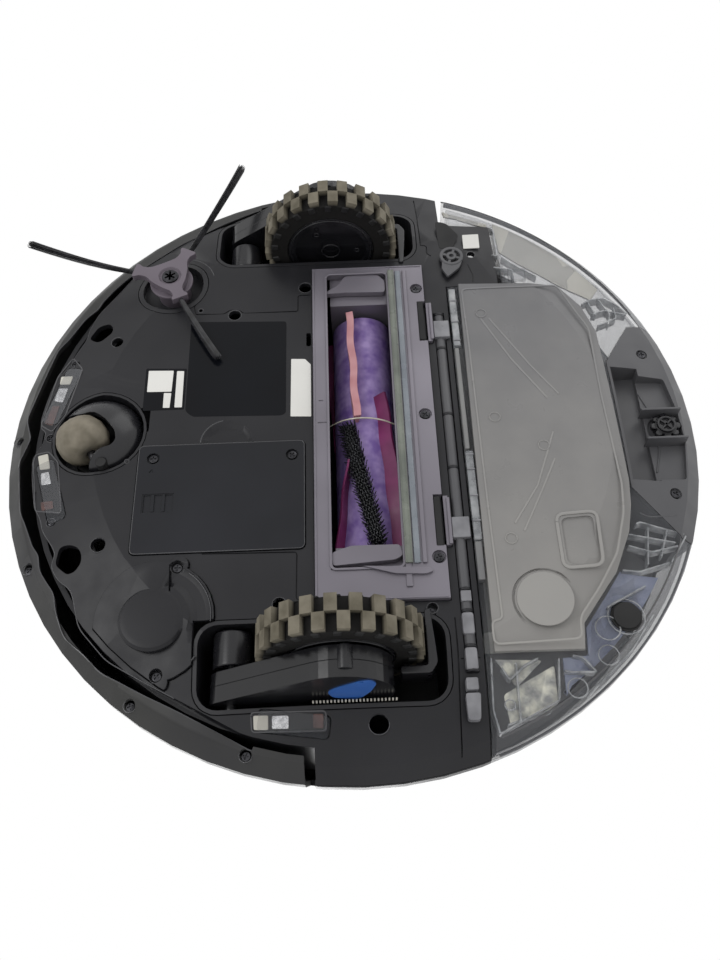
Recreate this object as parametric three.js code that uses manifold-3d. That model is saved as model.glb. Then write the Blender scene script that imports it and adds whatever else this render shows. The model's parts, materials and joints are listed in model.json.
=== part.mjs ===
// Round robot vacuum with a wet tank, as an assembly of separate pieces.
// Millimetres, +Z up, the bumper faces -Y, the tank is at +Y and the robot's left wheel at +X.
// The drive wheels hang fully down, as they do when the robot is lifted off the floor.
import * as THREE from "three";
import { mergeVertices } from "three/addons/utils/BufferGeometryUtils.js";
import Module from "manifold-3d";

const wasm = await Module();
wasm.setup();

// Driving dimensions of the whole body. Heights are measured from the flat of the base plate.
const bodyRadius = 170;
const bodyHeight = 70;
const flatRadius = 125;
const rimRadius = 163;
const rimHeight = 8;
const widestFrom = 15;
const widestTo = 20;
const shoulderRadius = 160;
const shoulderHeight = 66;
const crownRadius = 150;
const wall = 2.5;
const floorThickness = 3;

// Clearances shared by all pieces.
const seatGap = 0.4;
const runningGap = 0.6;
const overrun = 2;
const roundSides = 64;
const middleSides = 32;
const smallSides = 20;
const pinSides = 12;
const cornerSteps = 3;
const weldShare = 1e-4;

// Bumper and the seams round the body.
const bumper = { top: 50, lipInner: 160, tailY: -24, travel: 3, tailGap: 4.5, innerGap: 0.5 };
const seam = { sideTop: 14.4, rearY: 52.6, tankTop: 53 };
const panFrontRadius = bumper.lipInner - bumper.travel - bumper.innerGap;
const sideStartY = bumper.tailY + bumper.tailGap;

// Drive wheels and their swing arms.
const wheel = { radius: 35.5, width: 15, innerX: 106.5, y: -7.8, drop: 4.3, lugs: 22, lugDepth: 4 };
const tread = { lugShare: 0.52, rowShare: 0.5, hubRadius: 23, lipRadius: 19, lipDepth: 2 };
const arm = { innerX: 123, outerX: 136.2, seamShare: 0.45, pivotY: -55, pivotZ: 10, small: 9, big: 22 };
const pivot = { radius: 2.5, reach: 1.6 };
const axle = { radius: 4 };
const well = { inner: 103, outer: 138.6, front: -69, rear: 37, ceiling: 60.5, wall: 1.8, corner: 9 };

// Brush module.
const brush = { y: 7, z: 24, barrel: 14, sleeve: 15.5, tip: 22, left: 71, right: -66, journal: 4 };
const frame = { halfX: 95.6, front: -18.2, rear: 40.5, proud: 2.5, top: 1.5 };
const mouth = { left: 91, right: -80.5, front: -11, rear: 21.5 };
const chamber = { radius: 24, endX: 92, top: 50 };
const duct = { halfX: 30, low: 14, high: 34 };
const cap = { front: -9, rear: 22, top: 40, shaftEnd: 96.3 };
const fins = { count: 3, thickness: 1.6, steps: 5, leftStart: -24, leftEnd: -20, right: -50, sweep: 20 };
const bristle = { start: -30, sweep: 40, width: 6.2, from: 1, to: -65, backing: 1.2, rows: 4 };
const strand = { stations: 60, thick: 0.6, lean: 0.12, taper: 0.2 };
const strip = { rear: 25.2, depth: 1.4, left: 91.5, right: -79 };
const latch = { near: 45, far: 70, depth: 2.2, notch: 4.2, high: 1.5, low: 1.5 };
const motor = { radius: 11, y: -33, z: 18, inner: 80, plateLow: 5, plateHigh: 44 };

// Side brush, its blank cover on the other side, and the caster.
const sweeper = { x: 90, y: -93, hub: 7, low: 8, high: 2.2, arm: 18, armWidth: 6.5, cup: 16.5, cupDepth: 8 };
const tuft = { rows: 5, pitch: 0.66, thick: 0.42, steps: 2, sink: 3, droop: 2.4, spreadShare: 0.25 };
const tuftDirectionDegrees = [-75, 27, 157];
const tuftLengths = [59.5, 66, 34];
const tuftBend = [1, 9, 4];
const blank = { x: -99.5, y: -89, radius: 27, proud: 1.6, depth: 2.2, lug: 4 };
const blankLugDegrees = [23, 172];
const caster = { x: -2, y: -123, socket: 22.2, wall: 1.3, ceiling: 22, ball: 12.8, offset: 8, drop: 12.5 };
const yoke = { radius: 21.4, bulge: 7, brim: 3, crown: 17.5, slot: 9.6, stem: 4, axle: 2, axleHalf: 14 };
const ball = { halfWidth: 8.8, face: 7.5, steps: 5 };
const casterYawDegrees = 238;

// Battery, board, fan and side brush motor inside.
const bay = { front: -102, rear: -22.6, left: -11, right: -68.4, corner: 3 };
const cover = { proud: 0.6, thickness: 2.4 };
const fingerDip = { x: -10.6, y: -60, radius: 13, depth: 2.2 };
const pack = { inset: 5, height: 27 };
const board = { left: 76, right: -78, front: -84, rear: -26, z: 44, thickness: 1.6, post: 3, inset: 6 };
const fan = { x: 35, y: -57, radius: 28, wall: 2, height: 30, blades: 7, wheel: 23, hub: 6, blade: 1.2 };
const sweepMotor = { radius: 13, height: 28, shaft: 3 };

// Turret and buttons on top.
const turret = { y: 20, radius: 43, ring: 6, height: 16, capDepth: 4, posts: 4, ringDepth: 2.6 };
const rotor = { radius: 34, chamfer: 3 };
const button = { y: -98, halfX: 11, halfY: 5, corner: 4, proud: 0.8, depth: 4, pitch: 17 };

// Cliff sensors: the middle, half length, half width and turn of each.
const sensor = { top: 12, depth: 4, proud: 0.2, halfWidth: 4.4, halfFront: 17, halfSide: 15 };
const sensorPlaces = [
  { name: "cliff_sensor_front_left", x: 24, y: -145, half: sensor.halfFront, turn: 16 },
  { name: "cliff_sensor_front_right", x: -31, y: -143.6, half: sensor.halfFront, turn: -18 },
  { name: "cliff_sensor_side_left", x: 145.6, y: -28, half: sensor.halfSide, turn: 82 },
  { name: "cliff_sensor_side_right", x: -145.6, y: -28, half: sensor.halfSide, turn: -82 },
];

// Tank module at the rear.
const tank = { front: seam.rearY + 0.7, right: -163, wing: 81.4, wingY: 83, rimX: 131.5, rimY: 57, height: 50 };
const wing = { left: 129.6, rear: 80.5 };
const door = { proud: 2.6, openingShare: 0.93 };
const doorOutlineShares = [
  [0.476, 0.347],
  [0.465, 0.653],
  [0.382, 0.715],
  [0.282, 0.745],
  [-0.235, 0.752],
  [-0.312, 0.745],
  [-0.388, 0.727],
  [-0.5, 0.676],
  [-0.635, 0.571],
  [-0.7, 0.565],
  [-0.706, 0.335],
  [-0.635, 0.335],
];
const grip = { recessFront: 131, recessRear: 145, recessDepth: 14, recessLeft: 27, recessRight: -38, roof: 20 };
const gripOutlineShares = [
  [0.353, 1.06],
  [0.324, 0.855],
  [0.176, 0.762],
  [-0.247, 0.762],
  [-0.388, 0.882],
  [-0.412, 1.06],
];
const catchClip = { inner: 83, outer: 90, front: 86, rear: 95, depth: 2.6 };
const valve = { x: -6, y: 154, radius: 7.4, lobes: 8, lobeDepth: 1, low: 6.4, high: 11.8 };
const plug = { x: -104, y: 117, radius: 6, flange: 1.5, depth: 4, stem: 4 };
const filter = { left: -40, right: -104, depth: 14, low: 20 };
const rod = { y: 47.3, z: 1.4, radius: 2.5, left: 63.6, right: -119.6, slotHalf: 2.85 };
const knob = { x: 101, y: 57, radius: 7.4, depth: 3, stem: 2.2, tail: 9, tailWidth: 4 };

const baseHeight = wheel.radius + wheel.drop;

// Triangles with three different corners: the rest close up on a lathe's axis.
function wholeTriangles(index) {
  const kept = [];
  for (let i = 0; i < index.length; i += 3) {
    const [a, b, c] = [index[i], index[i + 1], index[i + 2]];
    if (a !== b && b !== c && c !== a) kept.push(a, b, c);
  }
  return kept;
}

// A closed three.js geometry as a solid.
function solidOf(geometry) {
  const plain = geometry.index ? geometry.toNonIndexed() : geometry;
  const bare = new THREE.BufferGeometry();
  bare.setAttribute("position", plain.getAttribute("position"));
  const merged = mergeVertices(bare, weldShare);
  const vertProperties = merged.attributes.position.array;
  const triVerts = new Uint32Array(wholeTriangles(merged.index.array));
  const made = new wasm.Manifold(new wasm.Mesh({ numProp: 3, vertProperties, triVerts }));
  if (made.volume() > 0) return made;
  const turnedOut = triVerts.reverse();
  return new wasm.Manifold(new wasm.Mesh({ numProp: 3, vertProperties, triVerts: turnedOut }));
}

// A solid back as a three.js geometry with normals.
function geometryOf(solid) {
  const mesh = solid.getMesh();
  const geometry = new THREE.BufferGeometry();
  const positions = new Float32Array(mesh.numVert * 3);
  for (let i = 0; i < mesh.numVert; i += 1) {
    for (let k = 0; k < 3; k += 1) {
      positions[i * 3 + k] = mesh.vertProperties[i * mesh.numProp + k];
    }
  }
  geometry.setAttribute("position", new THREE.BufferAttribute(positions, 3));
  geometry.setIndex(new THREE.BufferAttribute(new Uint32Array(mesh.triVerts), 1));
  geometry.computeVertexNormals();
  return geometry;
}

const radians = (degrees) => THREE.MathUtils.degToRad(degrees);
const join = (solids) => solids.reduce((sum, one) => sum.add(one));

// A box between two corners.
function box(x0, x1, y0, y1, z0, z1) {
  const geometry = new THREE.BoxGeometry(Math.abs(x1 - x0), Math.abs(y1 - y0), Math.abs(z1 - z0));
  geometry.translate((x0 + x1) / 2, (y0 + y1) / 2, (z0 + z1) / 2);
  return solidOf(geometry);
}

// An upright cylinder.
function disc(x, y, radius, z0, z1, sides = roundSides) {
  const geometry = new THREE.CylinderGeometry(radius, radius, z1 - z0, sides);
  geometry.rotateX(Math.PI / 2);
  geometry.translate(x, y, (z0 + z1) / 2);
  return solidOf(geometry);
}

// A cylinder along X.
function rodX(y, z, radius, x0, x1, sides = smallSides) {
  const geometry = new THREE.CylinderGeometry(radius, radius, Math.abs(x1 - x0), sides);
  geometry.rotateZ(Math.PI / 2);
  geometry.translate((x0 + x1) / 2, y, z);
  return solidOf(geometry);
}

// A flat outline, a list of [x, y] or a THREE.Shape, raised from z0 to z1.
function plate(outline, z0, z1, curveSegments = cornerSteps) {
  const points = Array.isArray(outline) ? outline.map(([x, y]) => new THREE.Vector2(x, y)) : null;
  const shape = points ? new THREE.Shape(points) : outline;
  const geometry = new THREE.ExtrudeGeometry(shape, { depth: z1 - z0, bevelEnabled: false, curveSegments });
  geometry.translate(0, 0, z0);
  return solidOf(geometry);
}

// A rectangle with round corners.
function roundedShape(x0, x1, y0, y1, corner) {
  const shape = new THREE.Shape();
  shape.moveTo(x0 + corner, y0);
  shape.absarc(x1 - corner, y0 + corner, corner, -Math.PI / 2, 0);
  shape.absarc(x1 - corner, y1 - corner, corner, 0, Math.PI / 2);
  shape.absarc(x0 + corner, y1 - corner, corner, Math.PI / 2, Math.PI);
  shape.absarc(x0 + corner, y0 + corner, corner, Math.PI, Math.PI * 1.5);
  return shape;
}

// A solid of revolution about Z from [radius, height] points.
function turned(profile, sides = roundSides) {
  const closed = profile[0][0] > 0 ? [...profile, profile[0]] : profile;
  const points = closed.map(([r, z]) => new THREE.Vector2(r, z));
  const geometry = new THREE.LatheGeometry(points, sides);
  geometry.rotateX(Math.PI / 2);
  return solidOf(geometry);
}

// A closed skin over rings of equally many points, with a fan over each end.
function skin(rings) {
  const count = rings[0].length;
  const positions = rings.flat().flatMap((p) => [p.x, p.y, p.z]);
  const index = [];
  for (let r = 0; r + 1 < rings.length; r += 1) {
    for (let k = 0; k < count; k += 1) {
      const a = r * count + k;
      const b = r * count + ((k + 1) % count);
      index.push(a, b, a + count, b, b + count, a + count);
    }
  }
  const last = (rings.length - 1) * count;
  for (let k = 1; k + 1 < count; k += 1) {
    index.push(0, k + 1, k, last, last + k, last + k + 1);
  }
  const geometry = new THREE.BufferGeometry();
  geometry.setAttribute("position", new THREE.BufferAttribute(new Float32Array(positions), 3));
  geometry.setIndex(index);
  return solidOf(geometry);
}

// The outside of the whole body at an inset, as the profile that the shells share.
function envelopeProfile(inset, z0, z1) {
  const corners = [
    [flatRadius, 0],
    [rimRadius, rimHeight],
    [bodyRadius, widestFrom],
    [bodyRadius, widestTo],
    [shoulderRadius, shoulderHeight],
    [crownRadius, bodyHeight],
  ];
  const radiusAt = (z) => {
    const next = corners.findIndex(([, height]) => height >= z);
    if (next <= 0) return next < 0 ? crownRadius : flatRadius;
    const [r0, h0] = corners[next - 1];
    const [r1, h1] = corners[next];
    return r0 + ((r1 - r0) * (z - h0)) / (h1 - h0);
  };
  const between = corners.filter(([, height]) => height > z0 && height < z1);
  const heights = [z0, ...between.map(([, height]) => height), z1];
  return heights.map((z) => [radiusAt(z) - inset, z]);
}

// The body's outer shape between two heights, drawn in by an inset.
function envelope(inset, z0, z1) {
  return turned([[0, z0], ...envelopeProfile(inset, z0, z1), [0, z1]]);
}

// A sheet that follows the floor's face, between two depths measured up from it.
function floorSheet(from, to) {
  const below = envelope(0, 0, bodyHeight).translate([0, 0, from]);
  return below.subtract(envelope(0, 0, bodyHeight).translate([0, 0, to]));
}

// The height of the floor's face at a distance from the middle, and the top of the deepest seat in it.
const floorHeight = (radius) => (rimHeight * Math.max(0, radius - flatRadius)) / (rimRadius - flatRadius);
const seatTop = rimHeight + floorThickness;

const half = bodyRadius + overrun;
const frontOf = (y, z0, z1) => box(-half, half, -half, y, z0, z1);
const behind = (y, z0, z1) => box(-half, half, y, half, z0, z1);
const between = (y0, y1, z0, z1) => box(-half, half, y0, y1, z0, z1);

const finishes = {
  shell: { color: 0x2b2c2f, roughness: 0.42, metalness: 0 },
  gloss: { color: 0x1b1c20, roughness: 0.22, metalness: 0 },
  rearGrey: { color: 0x46474b, roughness: 0.5, metalness: 0 },
  mauve: { color: 0x77737f, roughness: 0.45, metalness: 0 },
  hubMauve: { color: 0x6b626d, roughness: 0.5, metalness: 0 },
  rubber: { color: 0x232326, roughness: 0.85, metalness: 0 },
  treadRubber: { color: 0x5d594f, roughness: 0.9, metalness: 0 },
  casterBall: { color: 0x4b463f, roughness: 0.6, metalness: 0 },
  bristle: { color: 0x111113, roughness: 0.8, metalness: 0 },
  barrel: { color: 0x7d62a8, roughness: 0.45, metalness: 0 },
  fin: { color: 0x9b6c93, roughness: 0.6, metalness: 0 },
  sealGrey: { color: 0x9a9f97, roughness: 0.6, metalness: 0 },
  clear: { color: 0xb9c4cc, roughness: 0.08, metalness: 0 },
  smoke: { color: 0x7a7a7b, roughness: 0.4, metalness: 0 },
  board: { color: 0x1f5b39, roughness: 0.6, metalness: 0 },
  cells: { color: 0x2f4f8f, roughness: 0.5, metalness: 0 },
  steel: { color: 0xb8babd, roughness: 0.35, metalness: 1 },
  filterWhite: { color: 0xe6e4dc, roughness: 0.9, metalness: 0 },
};

const robot = new THREE.Group();
robot.position.z = baseHeight;

// Adds one named piece to the assembly.
function add(name, solid, finish, parent = robot) {
  const mesh = new THREE.Mesh(geometryOf(solid), new THREE.MeshStandardMaterial(finishes[finish]));
  mesh.name = name;
  parent.add(mesh);
  return mesh;
}

// The plan of one wheel well, grown by a margin.
function wellPlan(side, margin, z0, z1) {
  const x0 = Math.min(side * well.inner, side * well.outer) - margin;
  const x1 = Math.max(side * well.inner, side * well.outer) + margin;
  const shape = roundedShape(x0, x1, well.front - margin, well.rear + margin, well.corner + margin);
  return plate(shape, z0, z1).intersect(disc(0, 0, panFrontRadius - wall, z0 - overrun, z1 + overrun));
}

// The tub of one wheel well, closed above and open below.
function makeWheelWell(side) {
  const top = well.ceiling + well.wall;
  const inside = disc(0, 0, panFrontRadius - wall - seatGap, -overrun, top + overrun);
  const shell = wellPlan(side, well.wall, 0, top).intersect(inside).intersect(envelope(0, 0, bodyHeight));
  const beside = sensorPlaces.find(({ x }) => x * side > well.outer);
  return shell.subtract(wellPlan(side, 0, -overrun, well.ceiling)).subtract(pivotHole(side))
    .subtract(sensorBlock(beside, seatGap, -overrun, sensor.top));
}

// The cup that the side brush shaft comes through.
function makeSweeperCup() {
  const outer = disc(sweeper.x, sweeper.y, sweeper.cup + wall, 0, sweeper.cupDepth + wall, middleSides);
  const space = disc(sweeper.x, sweeper.y, sweeper.cup, -overrun, sweeper.cupDepth, middleSides);
  const bore = disc(sweeper.x, sweeper.y, sweepMotor.shaft + runningGap, 0, bodyHeight, pinSides);
  return outer.subtract(space).subtract(bore).intersect(envelope(0, 0, bodyHeight));
}

// One sensor pocket or block, grown by a gap.
function sensorBlock(place, gap, z0, z1) {
  const halfX = place.half + gap;
  const halfY = sensor.halfWidth + gap;
  const shape = roundedShape(-halfX, halfX, -halfY, halfY, sensor.halfWidth / 2);
  const turn = new THREE.Matrix4().makeRotationZ(radians(place.turn));
  turn.setPosition(place.x, place.y, 0);
  const geometry = new THREE.ExtrudeGeometry(shape, { depth: z1 - z0, bevelEnabled: false, curveSegments: cornerSteps });
  geometry.translate(0, 0, z0);
  geometry.applyMatrix4(turn);
  return solidOf(geometry);
}

const boardPosts = [
  [board.left - board.inset, board.front + board.inset],
  [board.left - board.inset, board.rear - board.inset],
  [board.right + board.inset / 2, board.rear - board.inset],
  [board.right + board.inset / 2, (board.front + board.rear) / 2],
];

function makeBasePan() {
  const rise = floorHeight(panFrontRadius);
  const sideTub = turned([
    [0, 0],
    ...envelopeProfile(0, 0, seam.sideTop),
    [envelopeProfile(wall, 0, seam.sideTop).at(-1)[0], seam.sideTop],
    [rimRadius, seatTop],
    [flatRadius, floorThickness],
    [0, floorThickness],
  ]).intersect(between(sideStartY, seam.rearY, -overrun, seam.sideTop + overrun));
  const frontTub = turned([
    [0, 0],
    [flatRadius, 0],
    [panFrontRadius, rise],
    [panFrontRadius, bumper.top - seatGap],
    [panFrontRadius - wall, bumper.top - seatGap],
    [panFrontRadius - wall, rise + floorThickness],
    [flatRadius, floorThickness],
    [0, floorThickness],
  ]).intersect(frontOf(sideStartY + wall, -overrun, bodyHeight));
  const wingFloor = box(tank.wing + seatGap, wing.left, seam.rearY - wall, wing.rear, 0, seatTop)
    .intersect(floorSheet(0, floorThickness));
  const posts = boardPosts.map(([x, y]) => disc(x, y, board.post, 0, board.z - seatGap, pinSides));
  const pan = join([sideTub, frontTub, wingFloor, ...posts]);
  const gap = seatGap;
  const rimInside = disc(0, 0, panFrontRadius - wall, -overrun, seatTop);
  const cuts = [
    blankOutline(gap, -overrun, seatTop).intersect(rimInside),
    wellPlan(1, well.wall + gap, -overrun, seatTop),
    wellPlan(-1, well.wall + gap, -overrun, seatTop),
    disc(sweeper.x, sweeper.y, sweeper.cup + wall + gap, -overrun, seatTop, middleSides),
    box(-frame.halfX - gap, frame.halfX + gap, frame.front - gap, frame.rear + gap, -overrun, wall * 2),
    plate(roundedShape(bay.right - gap, bay.left + gap, bay.front - gap, bay.rear + gap, bay.corner),
      -overrun, wall * 2),
    disc(caster.x, caster.y, caster.socket + caster.wall + gap, -overrun, seatTop, middleSides),
    box(rod.right - gap, rod.left + gap, rod.y - rod.slotHalf, rod.y + rod.slotHalf, -overrun, wall * 2),
    disc(knob.x, knob.y, knob.stem + seatGap, -overrun, wall * 2, pinSides),
    disc(fingerDip.x, fingerDip.y, fingerDip.radius, -overrun, fingerDip.depth, middleSides),
    ...sensorPlaces.map((place) => sensorBlock(place, gap, -overrun, sensor.top)),
    ...[1, -1].map((side) => latchSlot(side)),
  ];
  return cuts.reduce((rest, cut) => rest.subtract(cut), pan);
}

// The upright wall between the robot's inside and the tank, with the duct's way through it.
function makeBulkhead() {
  const reach = Math.sqrt((panFrontRadius - wall) ** 2 - seam.rearY ** 2);
  const low = floorThickness + seatGap;
  return box(-reach, reach, seam.rearY - wall, seam.rearY, low, tank.height)
    .subtract(box(-duct.halfX, duct.halfX, seam.rearY - wall * 2, seam.rearY + overrun, duct.low, duct.high))
    .subtract(box(rod.right - seatGap, rod.left + seatGap, rod.y, rod.y + rod.slotHalf, 0, wall * 2))
    .intersect(envelope(0, 0, bodyHeight).translate([0, 0, low]));
}

function latchSlot(side) {
  const rear = frame.rear + latch.depth + seatGap * 2;
  return box(side * (latch.near - seatGap), side * (latch.far + seatGap), frame.rear, rear, -overrun, wall * 2);
}

function pivotHole(side) {
  const inner = side * (well.inner - pivot.reach - seatGap / 2);
  const outer = side * (well.outer + pivot.reach);
  return rodX(arm.pivotY, arm.pivotZ, pivot.radius + seatGap, inner, outer, pinSides);
}

// The round cover where a second side brush could go, with two screw lugs.
function blankOutline(gap, z0, z1) {
  const lugs = blankLugDegrees.map((degrees) => {
    const x = blank.x + blank.radius * Math.cos(radians(degrees));
    const y = blank.y + blank.radius * Math.sin(radians(degrees));
    return disc(x, y, blank.lug + gap, z0, z1, smallSides);
  });
  return join([disc(blank.x, blank.y, blank.radius + gap, z0, z1, middleSides), ...lugs]);
}

function makeTopCover() {
  const bottom = seam.sideTop + seatGap;
  const outer = envelope(0, bottom, bodyHeight);
  const inner = envelope(wall, bottom - overrun, bodyHeight - wall);
  const frontCut = frontOf(sideStartY - seatGap, 0, bumper.top + seatGap);
  const rearCut = behind(seam.rearY + seatGap, 0, seam.tankTop + runningGap);
  let shell = outer.subtract(inner).subtract(frontCut).subtract(rearCut);
  for (const side of [1, -1]) {
    shell = shell.subtract(buttonBlock(side, seatGap, 0, bodyHeight + overrun));
  }
  return shell;
}

function makeBumper() {
  const low = floorHeight(bumper.lipInner);
  const lip = rimHeight + floorThickness;
  const ring = turned([
    ...envelopeProfile(0, low, bumper.top),
    ...envelopeProfile(wall, lip, bumper.top).reverse(),
    [bumper.lipInner, lip],
  ]);
  return ring.intersect(frontOf(bumper.tailY, -overrun, bodyHeight));
}

function buttonBlock(side, gap, z0, z1) {
  const x = side * button.pitch;
  const shape = roundedShape(
    x - button.halfX - gap, x + button.halfX + gap,
    button.y - button.halfY - gap, button.y + button.halfY + gap, button.corner);
  return plate(shape, z0, z1);
}

function makeTurret() {
  const base = bodyHeight + seatGap;
  const top = bodyHeight + turret.height;
  const capLow = top - turret.capDepth;
  const sides = middleSides;
  const ring = disc(0, turret.y, turret.radius, base, base + turret.ringDepth, sides)
    .subtract(disc(0, turret.y, turret.radius - turret.ring, base - overrun, top, sides));
  const posts = Array.from({ length: turret.posts }, (_, i) => {
    const angle = ((i + 0.5) * 2 * Math.PI) / turret.posts;
    const reach = turret.radius - turret.ring / 2;
    return disc(reach * Math.cos(angle), turret.y + reach * Math.sin(angle), turret.ring / 2, base, top, pinSides);
  });
  const lid = disc(0, turret.y, turret.radius, capLow, top, sides);
  return join([ring, lid, ...posts]);
}

function makeRotor() {
  const low = bodyHeight + seatGap;
  const high = bodyHeight + turret.height - turret.capDepth - seatGap;
  const profile = [
    [0, low],
    [rotor.radius, low],
    [rotor.radius, high - rotor.chamfer],
    [rotor.radius - rotor.chamfer, high],
    [0, high],
  ];
  return turned(profile, middleSides).translate([0, turret.y, 0]);
}

function makeBatteryCover() {
  const shape = roundedShape(bay.right, bay.left, bay.front, bay.rear, bay.corner);
  const low = -cover.proud;
  return plate(shape, low, low + cover.thickness);
}

function makeBatteryPack() {
  const low = cover.thickness - cover.proud + seatGap;
  const inset = pack.inset;
  return box(bay.right + inset, bay.left - inset, bay.front + inset, bay.rear - inset, low, low + pack.height);
}

function makeBoard() {
  return box(board.right, board.left, board.front, board.rear, board.z, board.z + board.thickness);
}

function makeFanHousing() {
  const low = floorThickness + seatGap;
  const cup = disc(fan.x, fan.y, fan.radius, low, low + fan.height, middleSides);
  const space = disc(fan.x, fan.y, fan.radius - fan.wall, low + fan.wall, bodyHeight, middleSides);
  const exit = box(fan.x - fan.hub, fan.x + fan.hub, fan.y, fan.y - fan.radius - overrun,
    low + fan.wall * 2, low + fan.height / 2);
  return cup.subtract(space).subtract(exit);
}

function makeImpeller() {
  const low = floorThickness + seatGap + fan.wall + runningGap;
  const high = low + fan.height - fan.wall * 3;
  const backPlate = disc(fan.x, fan.y, fan.wheel, low, low + fan.wall, middleSides);
  const hub = disc(fan.x, fan.y, fan.hub, low, high, smallSides);
  const blades = Array.from({ length: fan.blades }, (_, i) => {
    const reach = (fan.wheel + fan.hub) / 2;
    const length = fan.wheel - fan.hub + fan.blade;
    const geometry = new THREE.BoxGeometry(length, fan.blade, high - low - fan.wall);
    geometry.translate(reach - fan.blade, 0, (high + low) / 2);
    geometry.rotateZ((i * 2 * Math.PI) / fan.blades);
    geometry.translate(fan.x, fan.y, 0);
    return solidOf(geometry);
  });
  return join([backPlate, hub, ...blades]);
}

function makeSweepMotor() {
  const low = sweeper.cupDepth + wall + seatGap;
  return disc(sweeper.x, sweeper.y, sweepMotor.radius, low, low + sweepMotor.height, smallSides);
}

function tuftFrame(i) {
  const angle = radians(tuftDirectionDegrees[i]);
  return new THREE.Vector3(Math.cos(angle), Math.sin(angle), 0);
}

function makeSweeperHub() {
  const low = -sweeper.low;
  const high = -sweeper.high;
  const hub = disc(sweeper.x, sweeper.y, sweeper.hub, low, high, smallSides);
  const shaftTop = sweeper.cupDepth + wall;
  const shaft = disc(sweeper.x, sweeper.y, sweepMotor.shaft, high - overrun, shaftTop, pinSides);
  const arms = tuftDirectionDegrees.map((degrees) => {
    const length = sweeper.arm;
    const geometry = new THREE.BoxGeometry(length, sweeper.armWidth, high - low - wall);
    geometry.translate(length / 2, 0, (high + low) / 2);
    geometry.rotateZ(radians(degrees));
    geometry.translate(sweeper.x, sweeper.y, 0);
    return solidOf(geometry);
  });
  return join([hub, shaft, ...arms]);
}

// One strand as a thin three-sided skin along a few centre points, drawn to a point at its tip.
function strandAlong(centres, across, up, thick) {
  const corners = centres.slice(0, -1).flatMap((centre, i) => {
    const size = (thick / 2) * (1 - i * strand.taper);
    return [0, 1, 2].map((k) => {
      const angle = (k * 2 * Math.PI) / 3;
      return centre
        .clone()
        .addScaledVector(across, size * Math.cos(angle))
        .addScaledVector(up, size * Math.sin(angle));
    });
  });
  const tip = corners.length;
  const index = [0, 2, 1];
  for (let ring = 0; ring < tip; ring += 3) {
    for (let k = 0; k < 3; k += 1) {
      const a = ring + k;
      const b = ring + ((k + 1) % 3);
      if (ring + 3 === tip) index.push(a, b, tip);
      else index.push(a, b, a + 3, b, b + 3, a + 3);
    }
  }
  const positions = [...corners, centres.at(-1)].flatMap((p) => [p.x, p.y, p.z]);
  const geometry = new THREE.BufferGeometry();
  geometry.setAttribute("position", new THREE.BufferAttribute(new Float32Array(positions), 3));
  geometry.setIndex(index);
  return solidOf(geometry);
}

// A tuft of strands that leaves an arm's end, bends sideways and droops a little.
function makeTuft(i) {
  const along = tuftFrame(i);
  const up = new THREE.Vector3(0, 0, 1);
  const across = new THREE.Vector3().crossVectors(up, along);
  const centreZ = -(sweeper.low + sweeper.high) / 2;
  const start = sweeper.arm + seatGap;
  const halfWidth = (tuft.rows * tuft.pitch) / 2;
  const origin = new THREE.Vector3(sweeper.x, sweeper.y, centreZ);
  const point = (u, v, w) =>
    origin.clone().addScaledVector(along, u).addScaledVector(across, v).addScaledVector(up, w);
  const ring = (u) => [
    point(u, -halfWidth, -halfWidth),
    point(u, halfWidth, -halfWidth),
    point(u, halfWidth, halfWidth),
    point(u, -halfWidth, halfWidth),
  ];
  let made = skin([ring(start), ring(start + tuft.sink)]);
  const middle = (tuft.rows - 1) / 2;
  for (let a = 0; a < tuft.rows; a += 1) {
    for (let b = 0; b < tuft.rows; b += 1) {
      const corner = Math.abs(a - middle) === middle && Math.abs(b - middle) === middle;
      if (corner) continue;
      const centres = Array.from({ length: tuft.steps + 1 }, (_, k) => {
        const t = k / tuft.steps;
        const spread = 1 + t * tuft.spreadShare;
        const v = (a - middle) * tuft.pitch * spread + tuftBend[i] * t * t;
        const w = (b - middle) * tuft.pitch * spread - tuft.droop * t;
        return point(start + tuft.sink / 2 + t * tuftLengths[i], v, w);
      });
      made = made.add(strandAlong(centres, across, up, tuft.thick));
    }
  }
  return made;
}

function makeBlankCover() {
  const low = -blank.proud - overrun;
  const reach = well.inner - well.wall - seatGap;
  const front = well.front - well.wall - seatGap;
  const wellCorner = box(-reach, -half, front, half, low - overrun, seatTop);
  const rimInside = disc(0, 0, panFrontRadius - wall - seatGap, low - overrun, seatTop);
  return blankOutline(0, low, seatTop).subtract(wellCorner).intersect(rimInside)
    .intersect(floorSheet(-blank.proud, blank.depth));
}

function makeCasterSocket() {
  const top = caster.ceiling + caster.wall;
  const outer = disc(caster.x, caster.y, caster.socket + caster.wall, 0, top, middleSides);
  const inner = disc(caster.x, caster.y, caster.socket, -overrun, caster.ceiling, middleSides);
  const bore = disc(caster.x, caster.y, yoke.stem + runningGap, 0, bodyHeight, smallSides);
  return outer.subtract(inner).subtract(bore).intersect(envelope(0, 0, bodyHeight));
}

const casterGroup = new THREE.Group();
casterGroup.position.set(caster.x, caster.y, 0);
casterGroup.rotation.z = radians(casterYawDegrees);
robot.add(casterGroup);
const ballZ = caster.ball - caster.drop;

// A cylinder along Y in the caster's own frame.
function casterRod(radius, halfLength, sides) {
  const geometry = new THREE.CylinderGeometry(radius, radius, halfLength * 2, sides);
  geometry.translate(caster.offset, 0, ballZ);
  return solidOf(geometry);
}

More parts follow.
